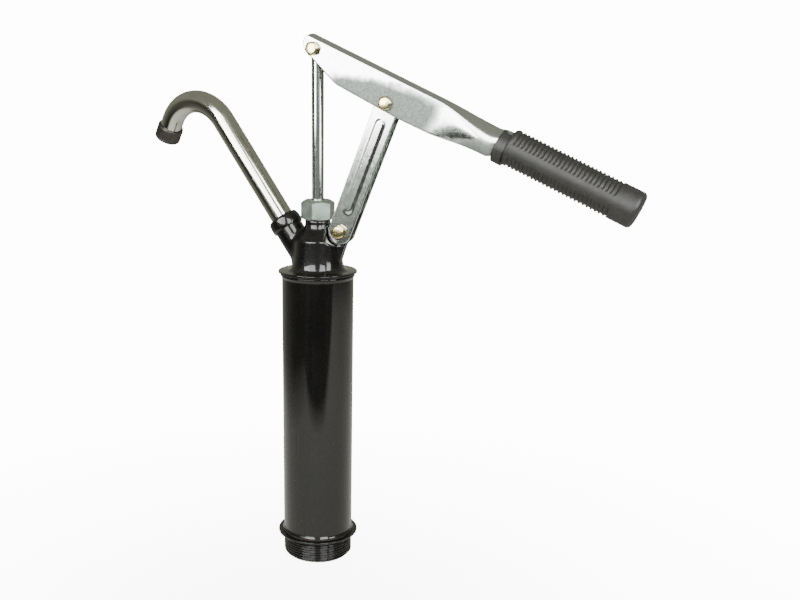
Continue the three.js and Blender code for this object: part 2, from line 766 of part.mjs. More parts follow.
function rodWasher(name, side) {
  const inside = ROD_R + 0.2;
  const outside = CHANNEL_W / 2 - CHANNEL_WALL - 0.2;
  const [from, to] = side < 0 ? [-outside, -inside] : [inside, outside];
  return mesh(name, sleeve(HOLE_R, WASHER_R, from, to), zinc);
}

function leverPieces() {
  const lever = new THREE.Group();
  lever.position.set(0, 0, ROD_PIVOT_Z);
  lever.rotation.y = LEVER_DROP;
  const stack = CHANNEL_W / 2;
  const fulcrum = new THREE.Group();
  fulcrum.position.set(FULCRUM.x, 0, FULCRUM.z);
  fulcrum.add(
    mesh("fulcrum_bolt", bolt(stack), yellowZinc),
    mesh("fulcrum_nut", lockNut(stack), yellowZinc),
    mesh("fulcrum_spacer", sleeve(HOLE_R, SPACER_R, -STRAP_INNER_Y + FACE, STRAP_INNER_Y - FACE), zinc),
  );
  lever.add(
    leverChannel(),
    handGrip(),
    mesh("rod_pivot_bolt", bolt(stack), yellowZinc),
    mesh("rod_pivot_nut", lockNut(stack), yellowZinc),
    rodWasher("rod_washer_front", -1),
    rodWasher("rod_washer_rear", 1),
    fulcrum,
  );
  return lever;
}

// ---------------------------------------------------------------- straps

// A pressed strap in its own frame: z along the strap from the pivot in the ear, side -1 front or +1 rear.
// Its upper hole is wide, because the fulcrum bolt wanders in it as the lever swings.
function strap(name, side) {
  const top = STRAP_LENGTH + 1.4;
  const outline = new THREE.Shape();
  outline.absarc(0, 0, STRAP_R, Math.PI, 2 * Math.PI, false);
  outline.absarc(0, top, STRAP_R, 0, Math.PI, false);
  circleHole(outline, 0, 0, HOLE_R);
  const slot = new THREE.Path();
  const half = SLOT_HALF_WIDTH;
  const low = STRAP_LENGTH - BOLT_R - 0.5;
  const high = STRAP_LENGTH + SLOT_LIFT + BOLT_R + 0.4;
  const corner = SLOT_CORNER;
  slot.moveTo(-half + corner, low);
  slot.lineTo(half - corner, low);
  slot.absarc(half - corner, low + corner, corner, -Math.PI / 2, 0, false);
  slot.absarc(half - corner, high - corner, corner, 0, Math.PI / 2, false);
  slot.absarc(-half + corner, high - corner, corner, Math.PI / 2, Math.PI, false);
  slot.absarc(-half + corner, low + corner, corner, Math.PI, 1.5 * Math.PI, false);
  outline.holes.push(slot);
  const inner = side * STRAP_INNER_Y;
  const outer = side * (STRAP_INNER_Y + STRAP_T - 0.7);
  const body = plate(outline, Math.min(inner, outer), Math.max(inner, outer), 7);

  const rib = new THREE.Shape();
  rib.absarc(0, RIB_BOTTOM, RIB_HALF_WIDTH, Math.PI, 2 * Math.PI, false);
  rib.absarc(0, RIB_TOP, RIB_HALF_WIDTH, 0, Math.PI, false);
  const crest = side * (STRAP_INNER_Y + STRAP_T);
  const ridge = plate(rib, Math.min(crest, inner), Math.max(crest, inner), 5);
  return mesh(name, carve([body, ridge]), zinc);
}

function strapPieces() {
  const pair = new THREE.Group();
  pair.position.set(EAR_PIVOT.x, 0, EAR_PIVOT.z);
  pair.rotation.y = STRAP_LEAN;
  pair.add(strap("link_strap_front", -1), strap("link_strap_rear", 1));
  return pair;
}

// ---------------------------------------------------------------- assembly

const outlet = new THREE.Group();
outlet.position.set(0, 0, OUTLET_Z);
outlet.rotation.y = -OUTLET_TILT;
const spout = new THREE.Group();
spout.rotation.z = SPOUT_TURN;
spout.add(spoutTube(), spoutEndRing());
outlet.add(outletCollar(), spoutSeal(), spout);

const earPivot = new THREE.Group();
earPivot.position.set(EAR_PIVOT.x, 0, EAR_PIVOT.z);
earPivot.add(earBolt(), earNut());

const group = new THREE.Group();
group.add(
  cylinderTube(),
  bungAdapter(),
  baseGasket(),
  footValveSeat(),
  footValveSeal(),
  footValveDisc(),
  footValveCage(),
  headCasting(),
  headGasket(),
  packingWasher(),
  glandPacking(),
  glandFollower(),
  glandNut(),
  earPivot,
  outlet,
  pistonRod(),
  pistonBody(),
  pistonCup(),
  cupFollower(),
  springWasher(),
  pistonNut(),
  pistonValveDisc(),
  pistonValveStop(),
  stopClip(),
  strapPieces(),
  leverPieces(),
);

export default group;
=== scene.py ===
"""Looks of the lever-action drum pump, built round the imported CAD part.

Shapes are worked out in millimetres in the part's own frame (origin on the pump's axis in the plane of the
bottom flange's underside, +Z up, +X towards the grip) and written in metres.
"""

import json
from math import atan2, cos, exp, hypot, pi, radians, sin, sqrt, tan

import bmesh
import bpy
import numpy as np
from mathutils import Matrix, Vector

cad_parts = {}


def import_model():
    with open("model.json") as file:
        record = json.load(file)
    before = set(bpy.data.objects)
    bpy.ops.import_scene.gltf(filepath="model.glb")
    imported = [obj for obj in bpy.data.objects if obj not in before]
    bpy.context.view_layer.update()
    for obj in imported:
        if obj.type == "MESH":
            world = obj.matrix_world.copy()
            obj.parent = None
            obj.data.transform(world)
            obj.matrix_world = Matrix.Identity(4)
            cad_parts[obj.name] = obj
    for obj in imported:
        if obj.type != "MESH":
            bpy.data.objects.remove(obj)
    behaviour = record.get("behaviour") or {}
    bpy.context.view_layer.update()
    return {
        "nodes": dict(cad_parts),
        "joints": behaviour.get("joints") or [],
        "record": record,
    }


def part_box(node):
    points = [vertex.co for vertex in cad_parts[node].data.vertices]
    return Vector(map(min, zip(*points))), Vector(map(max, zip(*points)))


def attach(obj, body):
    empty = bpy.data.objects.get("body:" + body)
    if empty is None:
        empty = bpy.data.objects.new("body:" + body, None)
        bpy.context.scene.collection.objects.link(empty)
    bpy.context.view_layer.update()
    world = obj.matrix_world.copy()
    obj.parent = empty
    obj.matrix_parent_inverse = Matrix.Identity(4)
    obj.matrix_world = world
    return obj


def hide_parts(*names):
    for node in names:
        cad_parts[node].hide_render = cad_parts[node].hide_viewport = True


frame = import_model()

MM = 0.001
RECORD = frame["record"]
JOINTS = {joint["name"]: joint for joint in frame["joints"]}


def mm_box(node):
    low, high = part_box(node)
    return low / MM, high / MM


ROD_PIVOT, EAR_PIVOT, OUTLET = (
    Vector(JOINTS[name]["pos_m"]) / MM for name in ("lever_swing", "strap_swing", "spout_swivel")
)
OUTLET_AXIS = Vector(JOINTS["spout_swivel"]["axis"]).normalized()
OUTLET_LEAN = atan2(OUTLET_AXIS.x, OUTLET_AXIS.z)
LEVER_DROP = radians(24)
STRAP_LEAN = radians(21.63)
SPOUT_TURN = radians(-12.9)
FULCRUM = Vector((73.6, 0, -12))  # in the lever's frame

AT_ORIGIN = Matrix.Identity(4)
LEVER_FRAME = Matrix.Translation(ROD_PIVOT) @ Matrix.Rotation(LEVER_DROP, 4, "Y")
STRAP_FRAME = Matrix.Translation(EAR_PIVOT) @ Matrix.Rotation(STRAP_LEAN, 4, "Y")
OUTLET_FRAME = Matrix.Translation(OUTLET) @ Matrix.Rotation(OUTLET_LEAN, 4, "Y")
SPOUT_FRAME = OUTLET_FRAME @ Matrix.Rotation(SPOUT_TURN, 4, "Z")
CROSS_FRAME = Matrix.Rotation(radians(90), 4, "X")  # local +Z becomes -Y, the side of the bolt heads

TUBE_R, TUBE_BORE = 30.0, 28.5
ROD_R, ROD_BORE = 5.0, 5.25
BOLT_R, BOLT_HOLE = 3.0, 3.25
BOLT_FLAT, GLAND_FLAT = 5.0, 12.6  # half the widths across flats
VALVE_PIN_BORE = 2.6


# ---------------------------------------------------------------- materials

class Nodes:
    """A node tree and short ways to add to it. A value is a number, a colour or another node's output."""

    def __init__(self, tree, space="Object"):
        self.tree = tree
        self.coords = tree.nodes.new("ShaderNodeTexCoord").outputs[space]

    def feed(self, socket, value):
        if isinstance(value, bpy.types.NodeSocket):
            self.tree.links.new(value, socket)
        else:
            socket.default_value = value

    def node(self, kind, settings=None, **inputs):
        made = self.tree.nodes.new(kind)
        for key, value in (settings or {}).items():
            setattr(made, key, value)
        for name, value in inputs.items():
            self.feed(made.inputs[name.replace("_", " ")], value)
        return made

    def noise(self, scale, detail=3.0, roughness=0.55, vector=None):
        sizes = {"Scale": scale, "Detail": detail, "Roughness": roughness}
        return self.node("ShaderNodeTexNoise", Vector=vector or self.coords, **sizes).outputs["Fac"]

    def streaks(self, scale, detail=3.0, roughness=0.55, turn=0.0):
        """Noise stretched along one direction, in coordinates turned about Y and then scaled."""
        turned = self.node("ShaderNodeMapping", Vector=self.coords, Rotation=(0, turn, 0))
        scaled = self.node("ShaderNodeMapping", Vector=turned.outputs[0], Scale=scale)
        return self.noise(1.0, detail, roughness, scaled.outputs[0])

    def cells(self, scale, output="Distance"):
        return self.node("ShaderNodeTexVoronoi", Vector=self.coords, Scale=scale).outputs[output]

    def crystals(self, scale):
        """Cells with a random grey each."""
        return self.node("ShaderNodeSeparateColor", Color=self.cells(scale, "Color")).outputs[0]

    def remap(self, value, low, high, to_low=0.0, to_high=1.0):
        limits = {"From_Min": low, "From_Max": high, "To_Min": to_low, "To_Max": to_high}
        return self.node("ShaderNodeMapRange", {"clamp": True}, Value=value, **limits).outputs["Result"]

    def math(self, operation, a, b):
        made = self.node("ShaderNodeMath", {"operation": operation})
        self.feed(made.inputs[0], a)
        self.feed(made.inputs[1], b)
        return made.outputs[0]

    def add(self, a, b):
        return self.math("ADD", a, b)

    def times(self, a, b):
        return self.math("MULTIPLY", a, b)

    def less(self, a, b):
        return self.math("SUBTRACT", a, b)

    def blend(self, factor, first, second):
        made = self.node("ShaderNodeMix", {"data_type": "RGBA"})
        for index, value in ((0, factor), (6, first), (7, second)):
            self.feed(made.inputs[index], (*value, 1.0) if isinstance(value, tuple) else value)
        return made.outputs[2]

    def mottle(self, spots, first, second, low=0.3, high=0.7):
        return self.blend(self.remap(spots, low, high), first, second)

    def bump(self, height, strength, distance, below=None):
        made = self.node("ShaderNodeBump", Height=height, Strength=strength, Distance=distance)
        if below is not None:
            self.tree.links.new(below, made.inputs["Normal"])
        return made.outputs["Normal"]

    def pick(self, factor, first, second):
        """One of two shaders, or a mix of them."""
        made = self.node("ShaderNodeMixShader")
        for index, value in enumerate((factor, first, second)):
            self.feed(made.inputs[index], value)
        return made.outputs[0]


class Shader(Nodes):
    """A Principled material."""

    def __init__(self, name, **constants):
        self.material = bpy.data.materials.new(name)
        self.material.use_nodes = True
        super().__init__(self.material.node_tree)
        self.surface = self.tree.nodes["Principled BSDF"]
        for socket, value in constants.items():
            self.surface.inputs[socket.replace("_", " ")].default_value = value

    def finish(self, slot, colour, rough, skin, **more):
        """Gives the material and the record's slot that it belongs to."""
        sockets = {"Base Color": colour, "Roughness": rough, "Normal": skin, **more}
        for name, value in sockets.items():
            self.feed(self.surface.inputs[name.replace("_", " ")], value)
        return self.material, slot


GLOSS_COAT = {"Coat_Weight": 1.0, "Coat_IOR": 1.45, "Specular_IOR_Level": 0.1}


def black_paint():
    s = Shader("gloss_black_paint", Coat_Roughness=0.03, **GLOSS_COAT)
    runs = s.streaks((260, 260, 9))
    specks = s.remap(s.cells(1400), 0.0, 0.16, 1.0, 0.0)
    dust = s.times(specks, s.remap(s.noise(60, 2), 0.55, 0.75))
    colour = s.mottle(s.noise(22, 4), (0.0024, 0.0024, 0.0025), (0.0046, 0.0042, 0.0036), 0.35, 0.65)
    colour = s.blend(s.times(dust, 0.5), colour, (0.022, 0.021, 0.018))
    rough = s.add(s.remap(runs, 0.3, 0.7, 0.22, 0.38), s.times(dust, 0.2))
    peel = s.bump(s.noise(420, 2), 0.05, 0.0004)
    skin = s.bump(s.streaks((420, 420, 30), 2), 0.04, 0.0002, peel)
    coat = s.bump(s.noise(240, 2), 0.035, 0.0004)
    return s.finish("black_paint", colour, rough, skin, Coat_Normal=coat)


def cast_paint():
    """The same paint over a casting, with the sand's faint texture showing through."""
    s = Shader("gloss_black_cast_paint", Coat_Roughness=0.04, **GLOSS_COAT)
    pits = s.remap(s.cells(700), 0.0, 0.22, 1.0, 0.0)
    colour = s.mottle(s.noise(55, 4), (0.0024, 0.0023, 0.0024), (0.0050, 0.0044, 0.0038), 0.35, 0.68)
    rough = s.remap(s.noise(180, 3), 0.3, 0.7, 0.24, 0.42)
    sand = s.bump(s.noise(520, 5, 0.65), 0.12, 0.0005)
    skin = s.bump(pits, 0.05, 0.0003, sand)
    coat = s.bump(s.noise(260, 3), 0.09, 0.0006)
    return s.finish("black_paint", colour, rough, skin, Coat_Normal=coat)


def chrome_plate():
    s = Shader("spout_chrome", Metallic=1.0, IOR=2.4)
    haze = s.noise(38, 4)
    draw = s.streaks((900, 900, 26), 4, 0.6, radians(35))
    spots = s.times(s.remap(s.cells(520), 0.0, 0.14, 1.0, 0.0), s.remap(haze, 0.5, 0.7, 0.0, 0.5))
    colour = s.mottle(haze, (0.54, 0.55, 0.48), (0.64, 0.64, 0.57))
    colour = s.blend(spots, colour, (0.33, 0.31, 0.26))
    rough = s.add(s.remap(draw, 0.3, 0.75, 0.07, 0.17), s.remap(haze, 0.55, 0.75, 0.0, 0.06))
    skin = s.bump(s.noise(140, 2), 0.03, 0.0006, s.bump(draw, 0.05, 0.0001))
    return s.finish("chrome_plate", colour, rough, skin)


def rod_chrome():
    s = Shader("rod_chrome", Metallic=1.0, IOR=2.4)
    lines = s.streaks((1400, 1400, 20), 4, 0.6)
    rings = s.streaks((30, 30, 1600))
    colour = s.mottle(s.noise(60, 4), (0.52, 0.58, 0.53), (0.64, 0.68, 0.63))
    rough = s.add(s.remap(lines, 0.3, 0.7, 0.05, 0.13), s.remap(rings, 0.5, 0.8, 0.0, 0.05))
    return s.finish("chrome_plate", colour, rough, s.bump(lines, 0.04, 0.0001))


def local_axes(shader, place):
    """The x and z coordinates, in millimetres, of a moving part's own frame at rest."""
    inverse = place.inverted()  # the frame is in millimetres, as the scaled coordinates are
    turn, shift = inverse.to_euler(), inverse.translation
    to_mm = (1 / MM, 1 / MM, 1 / MM)
    settings = {"Rotation": turn, "Location": shift, "Scale": to_mm}
    mapped = shader.node("ShaderNodeMapping", Vector=shader.coords, **settings)
    split = shader.node("ShaderNodeSeparateXYZ", Vector=mapped.outputs[0])
    return split.outputs["X"], split.outputs["Z"]


def painted_reflection_patch(s, grain):
    """Where the lever's plating is painted dull grey-green as a painted reflection of the darker
    surroundings: the rolled middle of its sides, under a line that climbs.
    """
    x, z = local_axes(s, LEVER_FRAME)
    rough = s.times(s.less(grain, 0.5), 8.0)
    left = s.remap(x, 19.0, 95.0, 1.0, 0.0)
    climb = s.less(5.2, s.times(s.times(left, left), 18.0))
    under = s.remap(s.add(s.less(climb, z), rough), -1.6, 4.6)
    slant = s.add(x, rough)
    middle = s.times(s.times(under, s.remap(slant, 14.0, 30.0)), s.remap(slant, 109.0, 118.0, 1.0, 0.0))
    # a second band of painted reflection along the rolled lower edge, widening towards the grip
    edge = s.add(s.remap(x, 112.0, 140.0, -19.5, -12.0), s.remap(x, 138.0, 154.0, 0.0, 9.5))
    low_band = s.remap(s.add(s.less(edge, z), rough), -1.5, 3.0)
    return s.math("MAXIMUM", middle, s.times(low_band, s.remap(slant, 104.0, 116.0, 0.0, 0.85)))


def zinc_sheet(name, turn, grain=1.0, patch=None):
    """Bright zinc plate on pressed sheet: small crystals, a cloudy haze and fine scratches."""
    s = Shader(name, IOR=1.6)
    wobble = s.noise(320, 3, 0.6)
    crystal = s.crystals(620)
    scratch = s.streaks((16, 700, 700), 5, 0.7, turn)
    cloud = s.noise(30, 4)
    colour = s.mottle(cloud, (0.60, 0.65, 0.61), (0.72, 0.74, 0.71))
    colour = s.blend(s.remap(crystal, 0.0, 1.0, 0.0, 0.22 * grain), colour, (0.36, 0.41, 0.37))
    colour = s.blend(s.remap(scratch, 0.66, 0.8, 0.0, 0.35), colour, (0.85, 0.87, 0.85))
    rough = s.add(s.remap(wobble, 0.25, 0.75, 0.10, 0.18), s.remap(scratch, 0.6, 0.8, 0.0, 0.10))
    rough = s.add(rough, s.remap(crystal, 0.0, 1.0, 0.0, 0.05))
    metal = s.remap(cloud, 0.0, 1.0, 0.97, 1.0)
    # painted reflection: the masked part of the sides is painted grey-green, less metallic and rougher,
    # standing in for the darker surroundings it reflects
    if patch:
        painted_reflection_mask = patch(s, s.noise(150, 4, 0.6))
        painted_reflection_tint = s.mottle(s.noise(900, 3, 0.6), (0.085, 0.105, 0.09), (0.24, 0.27, 0.245))
        colour = s.blend(painted_reflection_mask, colour, painted_reflection_tint)
        metal = s.less(metal, s.times(painted_reflection_mask, 0.82))
        rough = s.add(rough, s.times(painted_reflection_mask, 0.34))
    facets = s.bump(crystal, 0.05 * grain, 0.0002)
    dimples = s.bump(wobble, 0.07 * grain, 0.0004, facets)
    skin = s.bump(scratch, 0.04, 0.0001, dimples)
    return s.finish("zinc_plate", colour, rough, skin, Metallic=metal)


def nut_zinc():
    s = Shader("gland_nut_zinc", Metallic=0.92, IOR=2.2)
    cloud = s.noise(120, 4)
    grain = s.crystals(900)
    turned = s.streaks((60, 60, 1500))
    colour = s.mottle(cloud, (0.34, 0.42, 0.36), (0.44, 0.52, 0.46))
    colour = s.blend(s.remap(grain, 0.0, 1.0, 0.0, 0.25), colour, (0.26, 0.31, 0.27))
    rough = s.add(s.remap(cloud, 0.3, 0.7, 0.26, 0.40), s.remap(turned, 0.4, 0.8, 0.0, 0.1))
    skin = s.bump(turned, 0.05, 0.0001, s.bump(grain, 0.10, 0.0002))
    return s.finish("zinc_plate", colour, rough, skin)


def yellow_zinc():
    s = Shader("bolt_yellow_zinc", Metallic=1.0, IOR=2.2)
    fine = s.noise(1500, 4)
    colour = s.mottle(s.noise(260, 3), (0.62, 0.50, 0.20), (0.78, 0.70, 0.42))
    colour = s.blend(s.remap(s.noise(520, 2), 0.55, 0.75, 0.0, 0.5), colour, (0.42, 0.40, 0.22))
    rough = s.remap(fine, 0.3, 0.7, 0.12, 0.28)
    return s.finish("yellow_zinc", colour, rough, s.bump(fine, 0.08, 0.0002))


def grip_rubber():
    s = Shader("grip_rubber", IOR=1.47)
    pores = s.noise(2600, 4, 0.7)
    rubbed = s.streaks((30, 160, 160), turn=LEVER_DROP)
    colour = s.mottle(s.noise(70, 4), (0.012, 0.012, 0.010), (0.020, 0.0195, 0.017))
    colour = s.blend(s.remap(rubbed, 0.55, 0.8, 0.0, 0.4), colour, (0.034, 0.033, 0.030))
    rough = s.add(s.remap(pores, 0.3, 0.7, 0.40, 0.56), s.remap(rubbed, 0.5, 0.8, 0.0, -0.08))
    return s.finish("grip_rubber", colour, rough, s.bump(pores, 0.12, 0.0003))


def plain(name, slot, cloud, colours, grain, rough, bumps, **constants):
    """Two colours that drift with a cloud of noise, or with the grain, which also sets gloss and bumps."""
    s = Shader(name, **constants)
    fine = s.streaks(*grain) if isinstance(grain[0], tuple) else s.noise(*grain)
    drift = s.noise(*cloud) if cloud else fine
    colour = s.mottle(drift, *colours)
    return s.finish(slot, colour, s.remap(fine, 0.3, 0.7, *rough), s.bump(fine, *bumps))


PAINT = black_paint()
CAST_PAINT = cast_paint()
CHROME = chrome_plate()
ROD_CHROME = rod_chrome()
# the lever's zinc carries a painted grey-green reflection over the lower middle of its sides
LEVER_ZINC = zinc_sheet("lever_zinc", LEVER_DROP, patch=painted_reflection_patch)
STRAP_ZINC = zinc_sheet("strap_zinc", STRAP_LEAN + pi / 2, 0.7)
SMALL_ZINC = zinc_sheet("small_part_zinc", 0.0, 0.5)
NUT_ZINC = nut_zinc()
YELLOW_ZINC = yellow_zinc()
GRIP_RUBBER = grip_rubber()
# two colours each; the brass drifts from a higher share of the noise
PLASTIC_TINTS = (0.014, 0.012, 0.011), (0.026, 0.022, 0.020)
BRASS_TINTS = (0.62, 0.46, 0.20), (0.40, 0.28, 0.13), 0.35
SEAL_TINTS = (0.018, 0.018, 0.018), (0.034, 0.033, 0.032)
FIBRE_TINTS = (0.022, 0.018, 0.014), (0.055, 0.043, 0.032)
RING_PLASTIC, BRASS, SEAL_RUBBER, FIBRE = (
    plain("end_ring_plastic", "black_plastic", (160, 4), PLASTIC_TINTS, (2200, 3), (0.26, 0.44),
          (0.10, 0.0002), IOR=1.5),
    plain("turned_brass", "brass", (90, 4), BRASS_TINTS, ((90, 90, 1800),), (0.2, 0.4),
          (0.08, 0.0001), Metallic=1.0, IOR=2.0),
    plain("seal_rubber", "seal_rubber", (120, 3), SEAL_TINTS, (1800, 4), (0.5, 0.72), (0.1, 0.0002), IOR=1.5),
    plain("gasket_fibre", "gasket", None, FIBRE_TINTS, ((1500, 1500, 300), 5, 0.7), (0.7, 0.92),
          (0.2, 0.0002), IOR=1.45),
)


# ---------------------------------------------------------------- mesh helpers, in millimetres

def link(name, data):
    thing = bpy.data.objects.new(name, data)
    bpy.context.scene.collection.objects.link(thing)
    return thing


def evaluated(thing):
    """The thing's mesh with its modifiers applied."""
    graph = bpy.context.evaluated_depsgraph_get()
    return bpy.data.meshes.new_from_object(thing.evaluated_get(graph))


def add_piece(node, shape, finish, body, matrix=AT_ORIGIN, smooth_angle=38):
    """Makes the skin of a CAD node from (verts, faces), and places it on its body."""
    verts, faces = shape
    mesh = bpy.data.meshes.new(node + "_skin")
    mesh.from_pydata([matrix @ Vector(v) * MM for v in verts], [], faces)
    mesh.validate()
    clean(mesh, 1e-7)
    return adopt(node, mesh, finish, body, smooth_angle)


def clean(mesh, reach):
    """Merges vertices closer than reach, in metres, and turns the faces outwards."""
    tidy = bmesh.new()
    tidy.from_mesh(mesh)
    bmesh.ops.remove_doubles(tidy, verts=tidy.verts, dist=reach)
    bmesh.ops.recalc_face_normals(tidy, faces=tidy.faces)
    tidy.to_mesh(mesh)
    tidy.free()


def shade(mesh, angle):
    """Smooth shading, with edges sharper than angle left sharp."""
    mesh.polygons.foreach_set("use_smooth", [True] * len(mesh.polygons))
    mesh.set_sharp_from_angle(angle=radians(angle))


def adopt(node, mesh, finish, body, smooth_angle):
    """Makes a piece of a finished mesh, gives it its material and ties it to its body and CAD node."""
    material, slot = finish
    shade(mesh, smooth_angle)
    mesh.materials.clear()
    mesh.materials.append(material)
    piece = link(node + "_skin", mesh)
    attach(piece, body)
    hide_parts(node)
    return piece


def grid_faces(rows, columns, wrap_rows=False, wrap_columns=True, start=0):
    """Quads over a grid of rows by columns of vertices, wrapped round where asked."""
    faces = []
    for i in range(rows if wrap_rows else rows - 1):
        a, b = start + i * columns, start + ((i + 1) % rows) * columns
        for j in range(columns if wrap_columns else columns - 1):
            k = (j + 1) % columns
            faces.append((a + j, a + k, b + k, b + j))
    return faces


def woven(rows, wrap_rows=False):
    """The (verts, faces) skin over closed rows of points."""
    return [v for row in rows for v in row], grid_faces(len(rows), len(rows[0]), wrap_rows=wrap_rows)


def soften(points, radius, steps=3):
    """A closed outline with each corner rounded to the radius, or as far as its edges allow."""
    out = []
    count = len(points)
    for i in range(count):
        corner = Vector(points[i])
        before = Vector(points[i - 1]) - corner
        after = Vector(points[(i + 1) % count]) - corner
        angle = before.angle(after, pi)
        reach = radius / tan(max(angle / 2, 0.05))
        reach = min(reach, before.length * 0.45, after.length * 0.45)
        if angle > radians(172) or reach < 1e-4:
            out.append(tuple(corner))
            continue
        start = corner + before.normalized() * reach
        end = corner + after.normalized() * reach
        for step in range(steps + 1):
            t = step / steps
            out.append(tuple(start * (1 - t) ** 2 + corner * 2 * t * (1 - t) + end * t * t))
    return out


def circle(radius, z, segments):
    """Points round Z. The radius and the height may each be a function of the angle."""
    row = []
    for j in range(segments):
        angle = 2 * pi * j / segments
        r = radius(angle) if callable(radius) else radius
        row.append((r * cos(angle), r * sin(angle), z(angle) if callable(z) else z))
    return row


def lathe(points, segments=96):
    """Revolves a closed (radius, height) outline round Z."""
    return woven([circle(r, z, segments) for r, z in points], wrap_rows=True)


def turned_piece(node, points, finish, body, matrix=AT_ORIGIN, round_by=0.3, segments=96):
    add_piece(node, lathe(soften(points, round_by), segments), finish, body, matrix)


def block(inner, low, outer, high):
    """The four corners of a ring's rectangular section."""
    return [(inner, low), (outer, low), (outer, high), (inner, high)]


def curve_through(points, steps=8):
    """A Catmull-Rom curve through 2D points."""
    ends = [points[0]] + list(points) + [points[-1]]
    out = []
    for i in range(1, len(ends) - 2):
        p0, p1, p2, p3 = (Vector(ends[i + k]) for k in (-1, 0, 1, 2))
        for step in range(steps):
            t = step / steps
            q = p1 * 2 + (p2 - p0) * t + (p0 * 2 - p1 * 5 + p2 * 4 - p3) * t * t
            q += (p1 * 3 - p0 - p2 * 3 + p3) * t * t * t
            out.append(tuple(q / 2))
    out.append(tuple(points[-1]))
    return out


def hexagon_radius(angle, flat, rounding):
    """Radius of a hexagon with rounded corners, flat being half its width across flats."""
    from_flat = (angle + pi / 6) % (pi / 3) - pi / 6
    if flat * tan(abs(from_flat)) <= (flat - rounding) * tan(pi / 6):
        return flat / cos(from_flat)
    centre = (flat - rounding) / cos(pi / 6)
    off = pi / 6 - abs(from_flat)
    return centre * cos(off) + sqrt(rounding**2 - (centre * sin(off)) ** 2)


def hexagon_part(flat, low, high, bore, chamfer_low, chamfer_high, rounding, segments=96, dome=0.0):
    """A hexagon nut, or with bore 0 a bolt head, with turned chamfers that cut its corners in arcs."""
    slope, edge_break, lead_in = tan(radians(30)), 0.12, 0.5
    start = max(bore, 0.001)
    sides = []
    for sign, face, chamfer in ((-1, low, chamfer_low), (1, high, chamfer_high)):
        ring = flat - chamfer
        rows = []
        for k in range(5):
            r = start + (ring - start) * k / 5
            rise = dome * (1 - (r / ring) ** 2) if sign > 0 else 0.0
            lead = lead_in if bore and k == 0 else 0.0
            rows.append(circle(r, face - sign * lead + rise, segments))
            if lead:
                rows.append(circle(start + lead_in, face, segments))
        for share in (0.0, 0.35, 0.7, 1.0):

            def radius(angle):
                return ring + (hexagon_radius(angle, flat, rounding) - ring) * share

            def height(angle):
                drop = max(0.0, radius(angle) - ring) * slope
                return face - sign * (drop + (edge_break if share == 1.0 else 0.0))

            rows.append(circle(radius, height, segments))
        sides.append(rows)
    return woven(sides[0] + sides[1][::-1], wrap_rows=bool(bore))


def joined(*parts):
    """Several (verts, faces) meshes as one."""
    verts, faces = [], []
    for part_verts, part_faces in parts:
        start = len(verts)
        verts += list(part_verts)
        faces += [tuple(i + start for i in face) for face in part_faces]
    return verts, faces


def moved(part, matrix):
    verts, faces = part
    return [tuple(matrix @ Vector(v)) for v in verts], faces


def combine(piece, operation, verts, faces):
    """Cuts, crosses or joins a piece with a closed mesh given in metres."""
    mesh = bpy.data.meshes.new("tool")
    mesh.from_pydata(verts, [], faces)
    clean(mesh, 5e-6)
    tool = link("tool", mesh)
    change = piece.modifiers.new("tool", "BOOLEAN")
    change.operation, change.solver, change.object = operation, "EXACT", tool
    piece.data = evaluated(piece)
    piece.modifiers.clear()
    bpy.data.objects.remove(tool)


# ---------------------------------------------------------------- cylinder tube, gaskets and base

def cylinder_tube():
    low, high = mm_box("cylinder_tube")
    bead = 1.0
    foot = [(0.7 * bead, 0), (bead, 0.8), (0.4 * bead, 1.7), (0, 2.6)]
    top = [(0, 3.6), (0.5 * bead, 2.4), (bead, 1.4), (0.9 * bead, 0.4), (0.4 * bead, 0)]
    points = [(TUBE_BORE, low.z)] + [(TUBE_R + out, low.z + up) for out, up in foot]
    points += [(TUBE_R + out, high.z - down) for out, down in top] + [(TUBE_BORE, high.z)]
    turned_piece("cylinder_tube", points, PAINT, "pump_body", segments=160)


def gasket(node):
    low, high = mm_box(node)
    section = block(TUBE_BORE, low.z, high.x - 0.3, high.z)
    turned_piece(node, section, FIBRE, "pump_body", round_by=0.2, segments=128)


THREAD_PITCH = 2.309


def thread_height(angle, z, top, bottom):
    """Share of the full thread at a point of the helix, fading out at both ends."""
    phase = (z / THREAD_PITCH - angle / (2 * pi)) % 1.0
    crest = 1 - abs(2 * phase - 1)
    crest = min(max((crest - 0.12) / 0.76, 0.0), 1.0)
    fade_top = min(max((top - z) / 2.0, 0.0), 1.0)
    fade_low = min(max((z - bottom) / 1.6, 0.0), 1.0)
    return (crest * crest * (3 - 2 * crest)) * fade_top * fade_low


